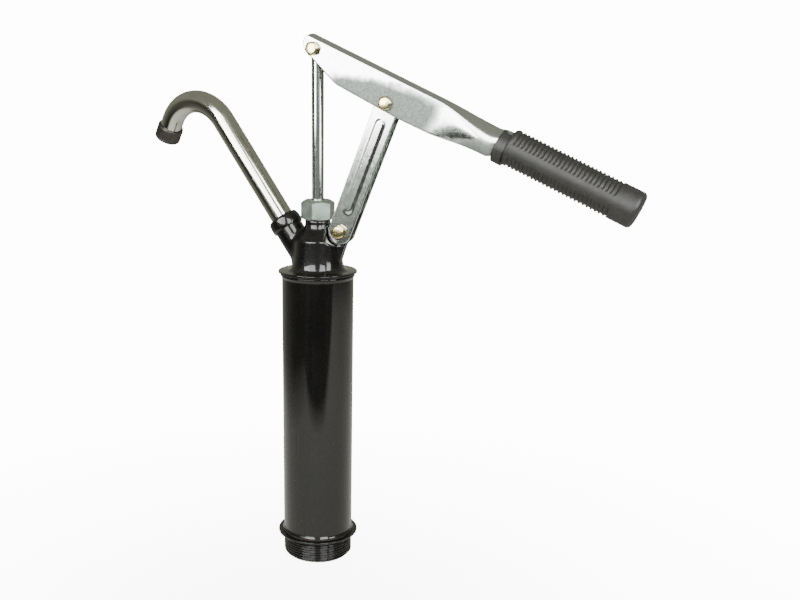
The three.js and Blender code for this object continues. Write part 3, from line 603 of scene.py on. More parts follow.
def bung_adapter():
    low, high = mm_box("bung_adapter")
    end, flange, segments = low.z, high.x, 160
    root, depth = 28.7, 1.15
    socket, socket_top, port, chamber, chamber_floor = 16.6, end + 14, 12.0, 22.5, 3.0
    rows = []

    def ring(radius, z):
        rows.append(circle(radius, z, segments))

    for r, z in ((port, chamber_floor), (port, socket_top + 0.4), (port + 0.5, socket_top)):
        ring(r, z)
    ring(socket - 0.8, socket_top)
    for z in np.linspace(socket_top - 0.8, socket_top - 13.0, 45):
        ring(lambda angle: socket - 0.8 * thread_height(-angle, z, socket_top - 2, end + 0.4), z)
    lead = [(socket + 0.2, 0.5), (socket + 0.9, 0), (root - 2.6, 0), (root - 1.7, 0.35), (root - 0.2, 1.9)]
    for r, up in lead:
        ring(r, end + up)
    for z in np.linspace(end + 2.0, -1.7, 85):
        ring(lambda angle: root + depth * thread_height(angle, z, -1.9, end + 1.6), z)
    for r, z in ((root, -1.4), (root + 1.0, -0.75), (root + 1.2, -0.55), (root + 1.2, 0.0)):
        ring(r, z)
    spigot, spigot_top, thickness = TUBE_BORE - 0.3, 15.0, 1.8
    top = [(flange, 0.0), (flange, thickness), (spigot, thickness), (spigot, spigot_top)]
    top += [(chamber, spigot_top), (chamber, chamber_floor)]
    for r, z in soften(top, 0.55):
        ring(r, z)
    add_piece("bung_adapter", woven(rows, wrap_rows=True), PAINT, "pump_body", smooth_angle=50)


# ---------------------------------------------------------------- head casting, as a smooth distance field

def outline_distance(x, y, outline):
    """Signed distance from points to a closed 2D outline, negative inside."""
    best = np.full(x.shape, 1e9)
    inside = np.zeros(x.shape, bool)
    for i in range(len(outline)):
        ax, ay = outline[i - 1]
        bx, by = outline[i]
        ex, ey = bx - ax, by - ay
        share = np.clip(((x - ax) * ex + (y - ay) * ey) / max(ex * ex + ey * ey, 1e-12), 0, 1)
        best = np.minimum(best, np.hypot(x - ax - share * ex, y - ay - share * ey))
        if ay != by:
            crosses = ((ay > y) != (by > y)) & (x < ex * (y - ay) / (by - ay) + ax)
            inside ^= crosses
    return np.where(inside, -best, best)


def smooth_join(a, b, reach):
    share = np.clip(0.5 + 0.5 * (b - a) / reach, 0, 1)
    return b * (1 - share) + a * share - reach * share * (1 - share)


def smooth_cut(a, tool, reach):
    return -smooth_join(-a, tool, reach)


HEAD_LOW, HEAD_HIGH = mm_box("head_casting")
FLANGE_LOW = mm_box("head_gasket")[1].z
FLANGE_TOP = FLANGE_LOW + 1.75
SPIGOT_R, CHAMBER_R = 28.2, 14.5
STUFFING_WALL, STUFFING_BORE, STUFFING_TOP = 10.5, 8.2, 275.6
BOSS_R, OUTLET_BORE, OUTLET_SOCKET = 11.9, 7.8, 9.75
EAR_HALF = 3.2


def head_outline():
    flare = [(27.5, 0), (24.6, 0.5), (22.4, 2.4), (21.4, 5.4), (20.6, 10.4), (20.1, 17), (19.7, 25.6)]
    neck = curve_through([(r, FLANGE_TOP + up) for r, up in flare], 7) + [(19.5, 260.1), (19.1, 260.6)]
    dome = [(18.4, 260.9), (16.4, 263.2), (13.2, 266.7), (11.3, 269.6), (STUFFING_WALL, 272.5)]
    foot = [(-9, HEAD_LOW.z), (SPIGOT_R, HEAD_LOW.z), (SPIGOT_R, FLANGE_LOW), (HEAD_HIGH.y - 0.7, FLANGE_LOW)]
    rim = [(HEAD_HIGH.y, FLANGE_LOW + 0.6), (HEAD_HIGH.y, FLANGE_TOP - 0.6), (HEAD_HIGH.y - 0.7, FLANGE_TOP)]
    top = [(STUFFING_WALL, STUFFING_TOP), (-9, STUFFING_TOP)]
    return foot + rim + neck + curve_through(dome, 6) + top


def head_cavity():
    low, roof, floor = HEAD_LOW.z - 3, 250.0, 257
    chamber = [(-9, low), (CHAMBER_R, low), (CHAMBER_R, roof - 3), (CHAMBER_R - 3, roof)]
    stuffing = [(ROD_BORE, floor), (STUFFING_BORE, floor), (STUFFING_BORE, 280), (-9, 280)]
    return chamber + [(ROD_BORE, roof)] + stuffing


def ear_outline():
    r = 7.7
    angles = np.linspace(-0.55, 1.9, 16)
    rounded = [(EAR_PIVOT.x + r * cos(a), EAR_PIVOT.z + r * sin(a)) for a in angles]
    web = [(14, 238), (20.0, 240.5), (21.8, 244.5), (24.4, 252.4), (27.4, 259.2)]
    return web + rounded + [(14, 272.5), (9.4, 268), (9.0, 255)]


HEAD_OUTLINE, HEAD_CAVITY, EAR_OUTLINE = head_outline(), head_cavity(), ear_outline()


def head_distance(p):
    """Signed distance from points to the head: a bell with a boss and an ear, and its cavities cut."""
    x, y, z = p[:, 0], p[:, 1], p[:, 2]
    solid = outline_distance(np.hypot(x, y), z, HEAD_OUTLINE)
    axis = np.array(OUTLET_AXIS)
    local = p - np.array(OUTLET)
    along = local @ axis
    off = np.linalg.norm(local - along[:, None] * axis, axis=1)
    boss = np.maximum(off - BOSS_R, np.abs(along - 36.0) - 15.5)
    solid = smooth_join(solid, boss, 3.6)
    ear = np.maximum(outline_distance(x, z, EAR_OUTLINE), np.abs(y) - EAR_HALF)
    solid = smooth_join(solid, ear, 2.2)
    around_pivot = np.hypot(x - EAR_PIVOT.x, z - EAR_PIVOT.z)
    pocket = np.maximum(around_pivot - 11.2, EAR_HALF + 0.1 - np.abs(y))
    solid = smooth_cut(solid, pocket, 0.9)
    cavity = outline_distance(np.hypot(x, y), z, HEAD_CAVITY)
    bore = np.maximum(off - OUTLET_BORE, 12.0 - along)
    socket = np.maximum(off - OUTLET_SOCKET, 37.5 - along)
    for tool in (cavity, bore, socket, around_pivot - BOLT_HOLE):
        solid = np.maximum(solid, -tool)
    return solid


def head_casting():
    """The CAD head remeshed in voxels and drawn onto the smooth shape, with a turned flange and spigot."""
    work = link("head_casting_work", frame["nodes"]["head_casting"].data.copy())
    remesh = work.modifiers.new("voxels", "REMESH")
    remesh.mode, remesh.voxel_size = "VOXEL", 0.78 * MM
    mesh = evaluated(work)
    bpy.data.objects.remove(work)
    points = np.zeros(len(mesh.vertices) * 3)
    mesh.vertices.foreach_get("co", points)
    points = points.reshape(-1, 3) / MM
    step, passes, furthest = 0.05, 7, 0.8
    for _ in range(passes):
        here = head_distance(points)
        slope = np.empty_like(points)
        for k in range(3):
            shifted = points.copy()
            shifted[:, k] += step
            slope[:, k] = (head_distance(shifted) - here) / step
        length = np.maximum(np.sum(slope * slope, axis=1), 0.25)
        push = np.clip(here, -furthest, furthest) / length
        points -= slope * push[:, None] * 0.9
    mesh.vertices.foreach_set("co", (points * MM).ravel())
    mesh.update()
    mesh.name = "head_casting_skin"
    piece = adopt("head_casting", mesh, CAST_PAINT, "pump_body", 55)
    cut, plate_top = FLANGE_TOP + 0.1, FLANGE_TOP + 0.15
    above = [(2, FLANGE_TOP - 0.5), (30, FLANGE_TOP - 0.5), (30, cut), (60, cut), (60, 300), (2, 300)]
    plate = [(CHAMBER_R + 0.1, HEAD_LOW.z), (SPIGOT_R, HEAD_LOW.z), (SPIGOT_R, FLANGE_LOW)]
    plate += [(HEAD_HIGH.y, FLANGE_LOW), (HEAD_HIGH.y, plate_top), (CHAMBER_R + 0.1, plate_top)]
    for operation, outline in (("INTERSECT", above), ("UNION", soften(plate, 0.55, 4))):
        verts, faces = lathe(outline, 192)
        combine(piece, operation, [Vector(v) * MM for v in verts], faces)
    shade(piece.data, 40)


# ---------------------------------------------------------------- gland nut, outlet collar and spout

def gland_nut():
    low, high = mm_box("gland_nut")
    seat = STUFFING_TOP + 0.3
    turn = Matrix.Rotation(radians(10), 4, "Z")
    chamfer_low, chamfer_high, rounding = 1.5, 2.3, 1.4
    nut = hexagon_part(GLAND_FLAT, seat, high.z, ROD_BORE, chamfer_low, chamfer_high, rounding, 144)
    nut = moved(nut, turn)
    stem_bore, stem_r = 5.3, 7.9
    stem = lathe(soften(block(stem_bore, low.z, stem_r, seat + 0.8), 0.3), 64)
    add_piece("gland_nut", joined(nut, stem), NUT_ZINC, "pump_body", smooth_angle=30)


def outlet_collar():
    start, end, shoulder, bore = 46.6, 57.2, 54.6, 12.15
    bulge = [(bore, start + 0.6), (12.9, start + 0.2), (13.45, start + 2.2), (13.5, start + 5.0)]
    bulge += [(13.2, end - 2.6), (12.6, end - 0.9), (11.6, end)]
    inner = [(OUTLET_SOCKET, end), (OUTLET_SOCKET, shoulder), (bore, shoulder)]
    add_piece("outlet_collar", lathe(curve_through(bulge, 5) + inner), CAST_PAINT, "pump_body", OUTLET_FRAME)


SPOUT_R, SPOUT_WALL = 9.5, 1.4
SPOUT_START, BEND_START, BEND_R, STRAIGHT_END = 38.2, 152.6, 36.1, 17.0
BEND_ANGLE = radians(113)
SPOUT_STRAIGHT = BEND_START - SPOUT_START
SPOUT_BEND = BEND_R * BEND_ANGLE
SPOUT_LENGTH = SPOUT_STRAIGHT + SPOUT_BEND + STRAIGHT_END


def spout_point(s):
    """Point and direction of the spout's centre line at distance s from its lower end."""
    if s <= SPOUT_STRAIGHT:
        return Vector((0, 0, SPOUT_START + s)), 0.0
    turn = min((s - SPOUT_STRAIGHT) / BEND_R, BEND_ANGLE)
    rest = max(0.0, s - SPOUT_STRAIGHT - SPOUT_BEND)
    x = -BEND_R * (1 - cos(turn)) - rest * sin(turn)
    z = BEND_START + BEND_R * sin(turn) + rest * cos(turn)
    return Vector((x, 0, z)), turn


def spout_section(s, radius):
    centre, turn = spout_point(s)
    side = Vector((cos(turn), 0, sin(turn)))
    return [tuple(centre + side * out + Vector((0, across, 0))) for out, across, _ in circle(radius, 0, 64)]


def spout_tube():
    bend_end = SPOUT_STRAIGHT + SPOUT_BEND
    stations = list(np.linspace(0, SPOUT_STRAIGHT, 30)) + list(np.linspace(SPOUT_STRAIGHT, bend_end, 44))[1:]
    stations += list(np.linspace(bend_end, SPOUT_LENGTH, 8))[1:]
    bore, corner = SPOUT_R - SPOUT_WALL, 0.3
    outer = []
    for s in stations:
        # the tube necks in a little on the outside of the bend, as bent tube does
        turn = spout_point(s)[1]
        flatten = 0.12 * sin(pi * turn / BEND_ANGLE) if 0 < turn < BEND_ANGLE else 0.0
        outer.append(spout_section(s, SPOUT_R - flatten))
    rim = [spout_section(SPOUT_LENGTH, r) for r in (SPOUT_R - 0.35, bore + corner)]
    inner = [spout_section(s, bore) for s in reversed(stations)]
    foot = [spout_section(0, r) for r in (bore + corner, SPOUT_R - 0.35)]
    shape = woven(outer + rim + inner + foot, wrap_rows=True)
    add_piece("spout_tube", shape, CHROME, "spout", SPOUT_FRAME, 50)


def spout_end_ring():
    centre, turn = spout_point(SPOUT_LENGTH)
    place = SPOUT_FRAME @ Matrix.Translation(centre) @ Matrix.Rotation(-turn, 4, "Y")
    back, front, outer, inner = -11.4, 1.2, 11.2, 9.75
    knurls, depth, segments = 44, 0.32, 264
    side = [front - down for down in (1.0, 1.9, 2.2, 5, 8)] + [back + up for up in (2.2, 1.9, 1.0)]
    lip = [(inner, front), (10.4, front), (outer - 0.35, front - 0.15)]
    tail = [(outer - 0.4, back + 0.2), (10.3, back), (inner, back)]
    rows = []
    for r, z in lip + [(outer, z) for z in side] + tail:
        knurled = r == outer and back + 2.0 < z < front - 2.0

        def radius(angle):
            return r - depth * abs(sin(knurls * angle / 2)) ** 0.8 if knurled else r

        rows.append(circle(radius, z, segments))
    add_piece("spout_end_ring", woven(rows, wrap_rows=True), RING_PLASTIC, "spout", place, 50)


# ---------------------------------------------------------------- rod, straps and bolts

def piston_rod():
    low, _ = mm_box("piston_rod")
    top, axis, segments = ROD_PIVOT.z - 4.6, 0.01, 72
    ends = soften([(axis, low.z), (ROD_R, low.z), (ROD_R, low.z + 6)], 0.5)[:-1]
    straight = [(ROD_R, z) for z in np.linspace(low.z + 6, top - 6, 9)]
    shaft = lathe(ends + straight + [(ROD_R + 0.1, top - 3), (ROD_R + 0.3, top), (axis, top)], segments)
    eye = lathe(soften(block(BOLT_HOLE, -ROD_R, 6.5, ROD_R), 0.5), segments)
    eye = moved(eye, Matrix.Translation(ROD_PIVOT) @ CROSS_FRAME)
    add_piece("piston_rod", joined(shaft, eye), ROD_CHROME, "piston")


STRAP_LENGTH = 109.6
STRAP_HALF = 10.2
STRAP_INNER = 3.6
STRAP_STACK = 6.0  # from the middle plane to a strap's outer face in CAD
BOLT_HOLE_SHAPE = (BOLT_HOLE, BOLT_HOLE, BOLT_HOLE - 0.05)
SLOT_SHAPE = (8.1, 4.6, 2.5)


def rib_height(x, z):
    """Height of the pressed rib over the flat of a strap."""
    low, high, half, edge = 21.0, STRAP_LENGTH - 17.0, 4.6, 2.1
    away = hypot(x, z - min(max(z, low), high))
    share = min(max((half - away) / edge, 0.0), 1.0)
    return 1.15 * share * share * (3 - 2 * share)


def strap(node, side):
    """A pressed strap: a stadium of thin sheet with rounded edges, its rib pressed outwards."""
    top, thickness, rim = STRAP_LENGTH + 1.4, 1.45, 0.35
    straight, bend = 90, 20
    outline = [(1, 0, top * i / straight) for i in range(straight)]
    half_turn = np.linspace(0, pi, bend, endpoint=False)
    outline += [(cos(a), sin(a), top) for a in half_turn]
    outline += [(-1, 0, top * (1 - i / straight)) for i in range(straight)]
    outline += [(cos(a), sin(a), 0) for a in half_turn + pi]
    shares = [0.0, 0.08, 0.16, 0.22, 0.27, 0.32, 0.37, 0.42, 0.47, 0.55, 0.7, 0.85, 0.95]

    def row(reach, height):
        """Points at a distance from the middle line, at a height over the inner face."""
        points = [(ux * reach, foot + uz * reach) for ux, uz, foot in outline]
        return [(x, side * (STRAP_INNER + height(x, z)), z) for x, z in points]

    inner = [row((STRAP_HALF - rim) * share, rib_height) for share in shares]
    outer = [row((STRAP_HALF - rim) * share, lambda x, z: rib_height(x, z) + thickness) for share in shares]
    edge = []
    for angle in np.radians(np.linspace(-80, 80, 5)):
        height = thickness / 2 + (thickness / 2 - 0.05) * sin(angle)
        edge.append(row(STRAP_HALF - rim + rim * cos(angle), lambda x, z: height))
    piece = add_piece(node, woven(inner + edge + outer[::-1]), STRAP_ZINC, "straps", STRAP_FRAME, 50)
    cut_holes(piece, STRAP_FRAME, [(0, 0, BOLT_HOLE_SHAPE), (0, STRAP_LENGTH + 1.1, SLOT_SHAPE)])


def cut_holes(piece, matrix, holes):
    """Cuts holes through along Y, each given as (x, z, (half width, half height, corner radius))."""
    reach = 30
    for x, z, (half_x, half_z, corner) in holes:
        outline = []
        for quarter, (sx, sz) in enumerate(((1, 1), (-1, 1), (-1, -1), (1, -1))):
            for step in range(9):
                angle = (quarter + step / 8) * pi / 2
                px = sx * (half_x - corner) + corner * cos(angle)
                outline.append((x + px, z + sz * (half_z - corner) + corner * sin(angle)))
        verts = [(px, y, pz) for y in (-reach, reach) for px, pz in outline] + [(x, -reach, z), (x, reach, z)]
        count = len(outline)
        faces = grid_faces(2, count)
        faces += [(i, (i + 1) % count, 2 * count) for i in range(count)]
        faces += [(count + (i + 1) % count, count + i, 2 * count + 1) for i in range(count)]
        combine(piece, "DIFFERENCE", [matrix @ Vector(v) * MM for v in verts], faces)
    piece.data.set_sharp_from_angle(angle=radians(50))


def machine_bolt(node, place, stack, body):
    """An M6 bolt along Y with a hexagon head on the -Y side and a threaded end past the nut."""
    under, head, axis = stack + 0.3, 3.8, 0.01
    cap = hexagon_part(BOLT_FLAT, under + 0.25, under + head, 0, 0.2, 0.75, 0.45, dome=0.35)
    face = lathe(soften(block(axis, under, 4.6, under + 0.4), 0.1), 64)
    start, end = -(stack - 4.0), -(under + 6.4)
    pitch, depth, segments, count = 1.0, 0.5, 48, 100
    top = under + 0.3
    rows = [circle(0.003, top, segments), circle(BOLT_R, top, segments)]
    for i in range(count + 1):
        z = start + (end + 0.5 - start) * i / count
        fade = max(min(1.0, i / 8, (count - i) / 8), 0.0)
        point = 0.35 if i == count else 0.0

        def radius(angle):
            phase = (z / pitch - angle / (2 * pi)) % 1.0
            return BOLT_R - depth * abs(2 * phase - 1) * fade - point

        rows.append(circle(radius, z, segments))
    rows += [circle(0.75 * BOLT_R, end, segments), circle(0.003, end, segments)]
    add_piece(node, joined(cap, face, woven(rows)), YELLOW_ZINC, body, place @ CROSS_FRAME, 32)


def machine_nut(node, place, stack, body):
    under = stack + 0.3
    tall, bore = 5.0, 3.02
    nut = hexagon_part(BOLT_FLAT, -(under + tall), -under, bore, 0.4, 0.25, 0.3)
    add_piece(node, nut, YELLOW_ZINC, body, place @ CROSS_FRAME, 32)


# ---------------------------------------------------------------- lever channel

LEVER_END = 268.0
SQUARE_HALF, CREASE, CROWN, CORNER = 8.5, 7.3, 9.5, 0.9
ROUND_R, ROUND_Z, SLIM_R, SLIM_Z = 11.9, -3.8, 10.6, -0.8
SHEET = 1.5
WALL_SHARE, CORNER_SHARE = 0.5, 0.62  # where the wall and the corner end, as shares of the section
CORNER_ANGLE = radians(66)


def ease(value, low, high):
    t = min(max((value - low) / (high - low), 0.0), 1.0)
    return t * t * (3 - 2 * t)


def along_knots(knots, place):
    """Straight-line interpolation over (place, value) knots, held at both ends."""
    return float(np.interp(place, [knot[0] for knot in knots], [knot[1] for knot in knots]))


def lower_edge(x):
    """Height of the channel's lower edge at x, in the lever's frame."""
    nose = [(-11, -1.6), (-8.4, -2.9), (-6, -4.2), (0, -6.3), (14, -11.5), (26.5, -16.1)]
    nose += [(30, -16.9), (34, -17.0)]
    grip = [(116, -17.9), (140, -16.7), (156, -16.0), (166, -14.9), (LEVER_END + 1, -13.0)]
    return along_knots(nose + [(60, -17.9), (92, -18.6)] + grip, x)


def square_section(t, low, inset):
    """Point at share t, from the lower edge (0) to the middle of the web (1), on the square section."""
    half, top, corner = SQUARE_HALF - 0.1 - inset, CREASE - inset, max(CORNER - inset, 0.25)
    wall_top = top - corner * 0.6
    if t < WALL_SHARE:
        return half, low + (wall_top - low) * t / WALL_SHARE
    angle = min((t - WALL_SHARE) / (CORNER_SHARE - WALL_SHARE), 1.0) * CORNER_ANGLE
    edge_y, edge_z = half - corner + corner * cos(angle), wall_top + corner * sin(angle)
    share = max(t - CORNER_SHARE, 0.0) / (1 - CORNER_SHARE)
    return edge_y * (1 - share), edge_z + (CROWN - inset - edge_z) * (1 - (1 - share) ** 2)


def round_section(t, radius, centre, inset):
    angle = radians(-62 + 152 * t)
    return (radius - inset) * cos(angle), centre + (radius - inset) * sin(angle)


def lever_section(x, t, inset):
    low = lower_edge(x)
    roll, slim = ease(x, 112, 160), ease(x, 160, 170)
    y, z = square_section(t, low, inset)
    round_y, round_z = round_section(t, ROUND_R, ROUND_Z, inset)
    slim_y, slim_z = round_section(t, SLIM_R, SLIM_Z, inset)
    y, z = y + (round_y - y) * roll, z + (round_z - z) * roll
    return y + (slim_y - y) * slim, z + (slim_z - z) * slim


def nose_edge(z):
    """Where the channel starts at height z: a rounded nose, and the web set back a little."""
    lower = [(-2.9, -8.4), (-1.2, -9.6), (1.0, -10.45), (3.2, -10.5)]
    return along_knots(lower + [(5.4, -10.1), (7.4, -9.3), (9.5, -8.1)], z)


def lever_channel():
    """Four nested skins, from the outside in, joined round their borders, so that the edges are rounded."""
    start = -8.4
    xs = [start + (30 - start) * (i / 26) ** 1.25 for i in range(26)] + list(np.linspace(30, 112, 42))
    xs += list(np.linspace(114, 172, 38)) + list(np.linspace(178, LEVER_END, 12))
    shares = list(np.linspace(0, WALL_SHARE, 15)) + list(np.linspace(WALL_SHARE, CORNER_SHARE, 6))[1:]
    shares += list(np.linspace(CORNER_SHARE, 1, 12))[1:]
    both = [(t, 1) for t in shares] + [(t, -1) for t in reversed(shares[:-1])]

    def skin(inset, shrink=0.0):
        points = []
        for x in xs:
            for t, side in both:
                share = shrink + (1 - shrink) * t
                _, z = lever_section(x, share, inset)
                px = x + (nose_edge(z) - start) * exp((start - x) / 5.0)
                if x == start:
                    px += shrink * 30
                y, z = lever_section(px, share, inset)
                points.append((px, side * y, z))
        return points

    skins = [skin(0.0, 0.008), skin(0.22), skin(SHEET - 0.22), skin(SHEET, 0.008)]
    rows, columns = len(xs), len(both)
    size = rows * columns
    faces = grid_faces(rows, columns, wrap_columns=False)
    faces += [tuple(reversed(f)) for f in grid_faces(rows, columns, wrap_columns=False, start=3 * size)]
    border = [(i, 0) for i in range(rows)] + [(rows - 1, j) for j in range(1, columns)]
    border += [(i, columns - 1) for i in range(rows - 2, -1, -1)]
    border += [(0, j) for j in range(columns - 2, 0, -1)]
    border = [i * columns + j for i, j in border]
    for layer in range(3):
        a, b = layer * size, (layer + 1) * size
        for p, q in zip(border, border[1:] + border[:1]):
            faces.append((a + p, a + q, b + q, b + p))
    points = [v for layer in skins for v in layer]
    used = sorted({i for face in faces for i in face})
    index = {old: new for new, old in enumerate(used)}
    shape = [points[i] for i in used], [tuple(index[i] for i in face) for face in faces]
    piece = add_piece("lever_channel", shape, LEVER_ZINC, "lever", LEVER_FRAME, 60)
    cut_holes(piece, LEVER_FRAME, [(0, 0, BOLT_HOLE_SHAPE), (FULCRUM.x, FULCRUM.z, BOLT_HOLE_SHAPE)])


# ---------------------------------------------------------------- grip

GRIP_R, GRIP_START, GRIP_END, END_ROUNDING = 13.9, 165.5, 278.5, 3.4
RIB_START, RIB_END, RIBS = 176.5, 260.5, 26
RIB_PITCH = (RIB_END - RIB_START) / RIBS
COLLAR_R, COLLAR_END, COLLAR_Z, COLLAR_STEP = 12.9, 173.5, -3.4, 1.4


def grip_radius(x, angle):
    """Radius of the grip at x; angle is measured round from the -Y side."""
    if x < COLLAR_END:
        return COLLAR_R
    away = abs(sin(angle))  # 0 at the middle of either side strip, 1 at the top and bottom
    strip = ease(away, 0.30, 0.46)
    ends = ease(x, RIB_START - 0.8, RIB_START + 0.8) * (1 - ease(x, RIB_END - 0.8, RIB_END + 0.8))
    phase = ((x - RIB_START) / RIB_PITCH) % 1.0
    groove = ease(max(0.0, sin(pi * phase)) ** 0.7, 0.35, 0.95)
    return GRIP_R - 1.0 * groove * strip * ends - 0.12 * (1 - strip) * ends


def grip_row(x, radius, centre=SLIM_Z):
    """Points round the grip, from its -Y side over its top."""
    return [(x, -across, centre + up) for across, up, _ in circle(radius, 0, 112)]


def hand_grip():
    xs = [GRIP_START, GRIP_START + 0.25, GRIP_START + 0.9]
    xs += list(np.linspace(GRIP_START + 2, COLLAR_END - 0.05, 5))
    xs += [COLLAR_END + s for s in (0.05, 0.5, 1.4, 2.2)]
    xs += [RIB_START + RIB_PITCH * i / 9 for i in range(RIBS * 9 + 1)]
    xs += list(np.linspace(RIB_END + 1, GRIP_END - END_ROUNDING, 6))
    rows = []
    for i, x in enumerate(xs):
        centre, trim = SLIM_Z, 0.0
        if x < COLLAR_END:
            centre, trim = COLLAR_Z, {0: 0.55, 1: 0.2}.get(i, 0.0)
        elif x < COLLAR_END + COLLAR_STEP:
            trim = 0.9 * (1 - (x - COLLAR_END) / COLLAR_STEP)
        rows.append(grip_row(x, lambda angle: grip_radius(x, angle) - trim, centre))
    for i in range(1, 9):
        a = i / 8 * pi / 2
        r = GRIP_R - END_ROUNDING + END_ROUNDING * cos(a)
        rows.append(grip_row(GRIP_END - END_ROUNDING + END_ROUNDING * sin(a), r))
    vent = [(8.0, GRIP_END + 0.05), (2.7, GRIP_END + 0.05), (2.2, GRIP_END - 0.5), (2.1, LEVER_END + 1)]
    barrel_bore, collar_bore = SLIM_R + 0.25, ROUND_R + 0.35
    for r, x in vent + [(barrel_bore, LEVER_END + 1), (barrel_bore, COLLAR_END - 1)]:
        rows.append(grip_row(x, r))
    for x in (COLLAR_END - 1.5, GRIP_START):
        rows.append(grip_row(x, collar_bore, COLLAR_Z))
    add_piece("hand_grip", woven(rows, wrap_rows=True), GRIP_RUBBER, "lever", LEVER_FRAME, 50)


# ---------------------------------------------------------------- rings hidden inside, and the assembly

def inner_ring(node, bore, finish, body):
    """A turned ring that takes its height and outer radius from its CAD node."""
    low, high = mm_box(node)
    turned_piece(node, block(bore, low.z, high.x, high.z), finish, body, segments=80)


def cross_ring(node):
    """A washer or spacer on one of the lever's bolts, with its axis along Y."""
    low, high = mm_box(node)
    place = Matrix.Translation((low + high) / 2) @ CROSS_FRAME
    outer, half = (high.x - low.x) / 2, (high.y - low.y) / 2
    turned_piece(node, block(BOLT_HOLE, -half, outer, half), SMALL_ZINC, "lever", place, 0.15, 56)


def build():
    cylinder_tube()
    gasket("base_gasket")
    gasket("head_gasket")
    bung_adapter()
    head_casting()
    gland_nut()
    outlet_collar()
    spout_tube()
    spout_end_ring()
    piston_rod()
    strap("link_strap_front", -1)
    strap("link_strap_rear", 1)
    for pivot, place, stack, body in (
        ("rod_pivot", LEVER_FRAME, SQUARE_HALF, "lever"),
        ("fulcrum", LEVER_FRAME @ Matrix.Translation(FULCRUM), SQUARE_HALF, "lever"),
        ("strap_pivot", Matrix.Translation(EAR_PIVOT), STRAP_STACK, "pump_body"),
    ):
        machine_bolt(pivot + "_bolt", place, stack, body)
        machine_nut(pivot + "_nut", place, stack, body)
    lever_channel()
    hand_grip()
    for node in ("rod_washer_front", "rod_washer_rear", "fulcrum_spacer"):
        cross_ring(node)
    for node, bore, finish, body in (
        ("foot_valve_disc", VALVE_PIN_BORE, BRASS, "foot_valve"),
        ("packing_washer", ROD_BORE, BRASS, "pump_body"),
        ("gland_follower", ROD_BORE, BRASS, "pump_body"),
        ("foot_valve_seal", VALVE_PIN_BORE, SEAL_RUBBER, "foot_valve"),
        ("gland_packing", ROD_BORE, FIBRE, "pump_body"),
        ("piston_valve_disc", ROD_BORE, SEAL_RUBBER, "piston_valve"),
        ("piston_valve_stop", ROD_BORE, BRASS, "piston"),
        ("piston_washer", ROD_BORE, SMALL_ZINC, "piston"),
    ):
        inner_ring(node, bore, finish, body)
    # the CAD nodes that stay get a finely detailed material
    by_slot = {slot: material for material, slot in (BRASS, SEAL_RUBBER, FIBRE, SMALL_ZINC)}
    for part in RECORD["subparts"]:
        node = frame["nodes"][part["node"]]
        if not node.hide_render and part["material_slot"] in by_slot:
            node.data.materials.clear()
            node.data.materials.append(by_slot[part["material_slot"]])


build()


# ---------------------------------------------------------------- studio

FLOOR_LOW = mm_box("bung_adapter")[0].z * MM
FRONT = (0.446, -0.895)  # from the pump towards the camera, level
RIGHT = (0.895, 0.446)


def aim(thing, target):
    thing.rotation_mode = "QUATERNION"
    thing.rotation_quaternion = (Vector(target) - thing.location).to_track_quat("-Z", "Y")


def heading(azimuth):
    """A level direction, counted in degrees from the camera's side of the pump, positive to the right."""
    angle = atan2(FRONT[1], FRONT[0]) + radians(azimuth)
    return Vector((cos(angle), sin(angle)))


def camera():
    data = bpy.data.cameras.new("camera")
    data.lens, data.sensor_width = 45.0, 36.0
    data.shift_x, data.shift_y = 0.1025, 0.0625
    data.clip_start, data.clip_end = 0.01, 50
    data.dof.use_dof = False
    rig = link("camera", data)
    rig.location = (0.3669, -0.7359, 0.3851)
    pitch, level = radians(15), Vector((-FRONT[0], -FRONT[1])).normalized()
    look = Vector((level.x * cos(pitch), level.y * cos(pitch), -sin(pitch)))
    aim(rig, rig.location + look)
    bpy.context.scene.camera = rig


def softbox(name, azimuth, elevation, distance, width, height, energy, mirrored=True):
    """An area light aimed at the pump."""
    data = bpy.data.lights.new(name, "AREA")
    data.shape, data.size, data.size_y, data.energy = "RECTANGLE", width, height, energy
    lamp = link(name, data)
    flat = heading(azimuth) * (distance * cos(radians(elevation)))
    lamp.location = (*flat, 0.2 + distance * sin(radians(elevation)))
    aim(lamp, (0, 0, 0.22))
    lamp.visible_camera = False
    lamp.visible_glossy = mirrored


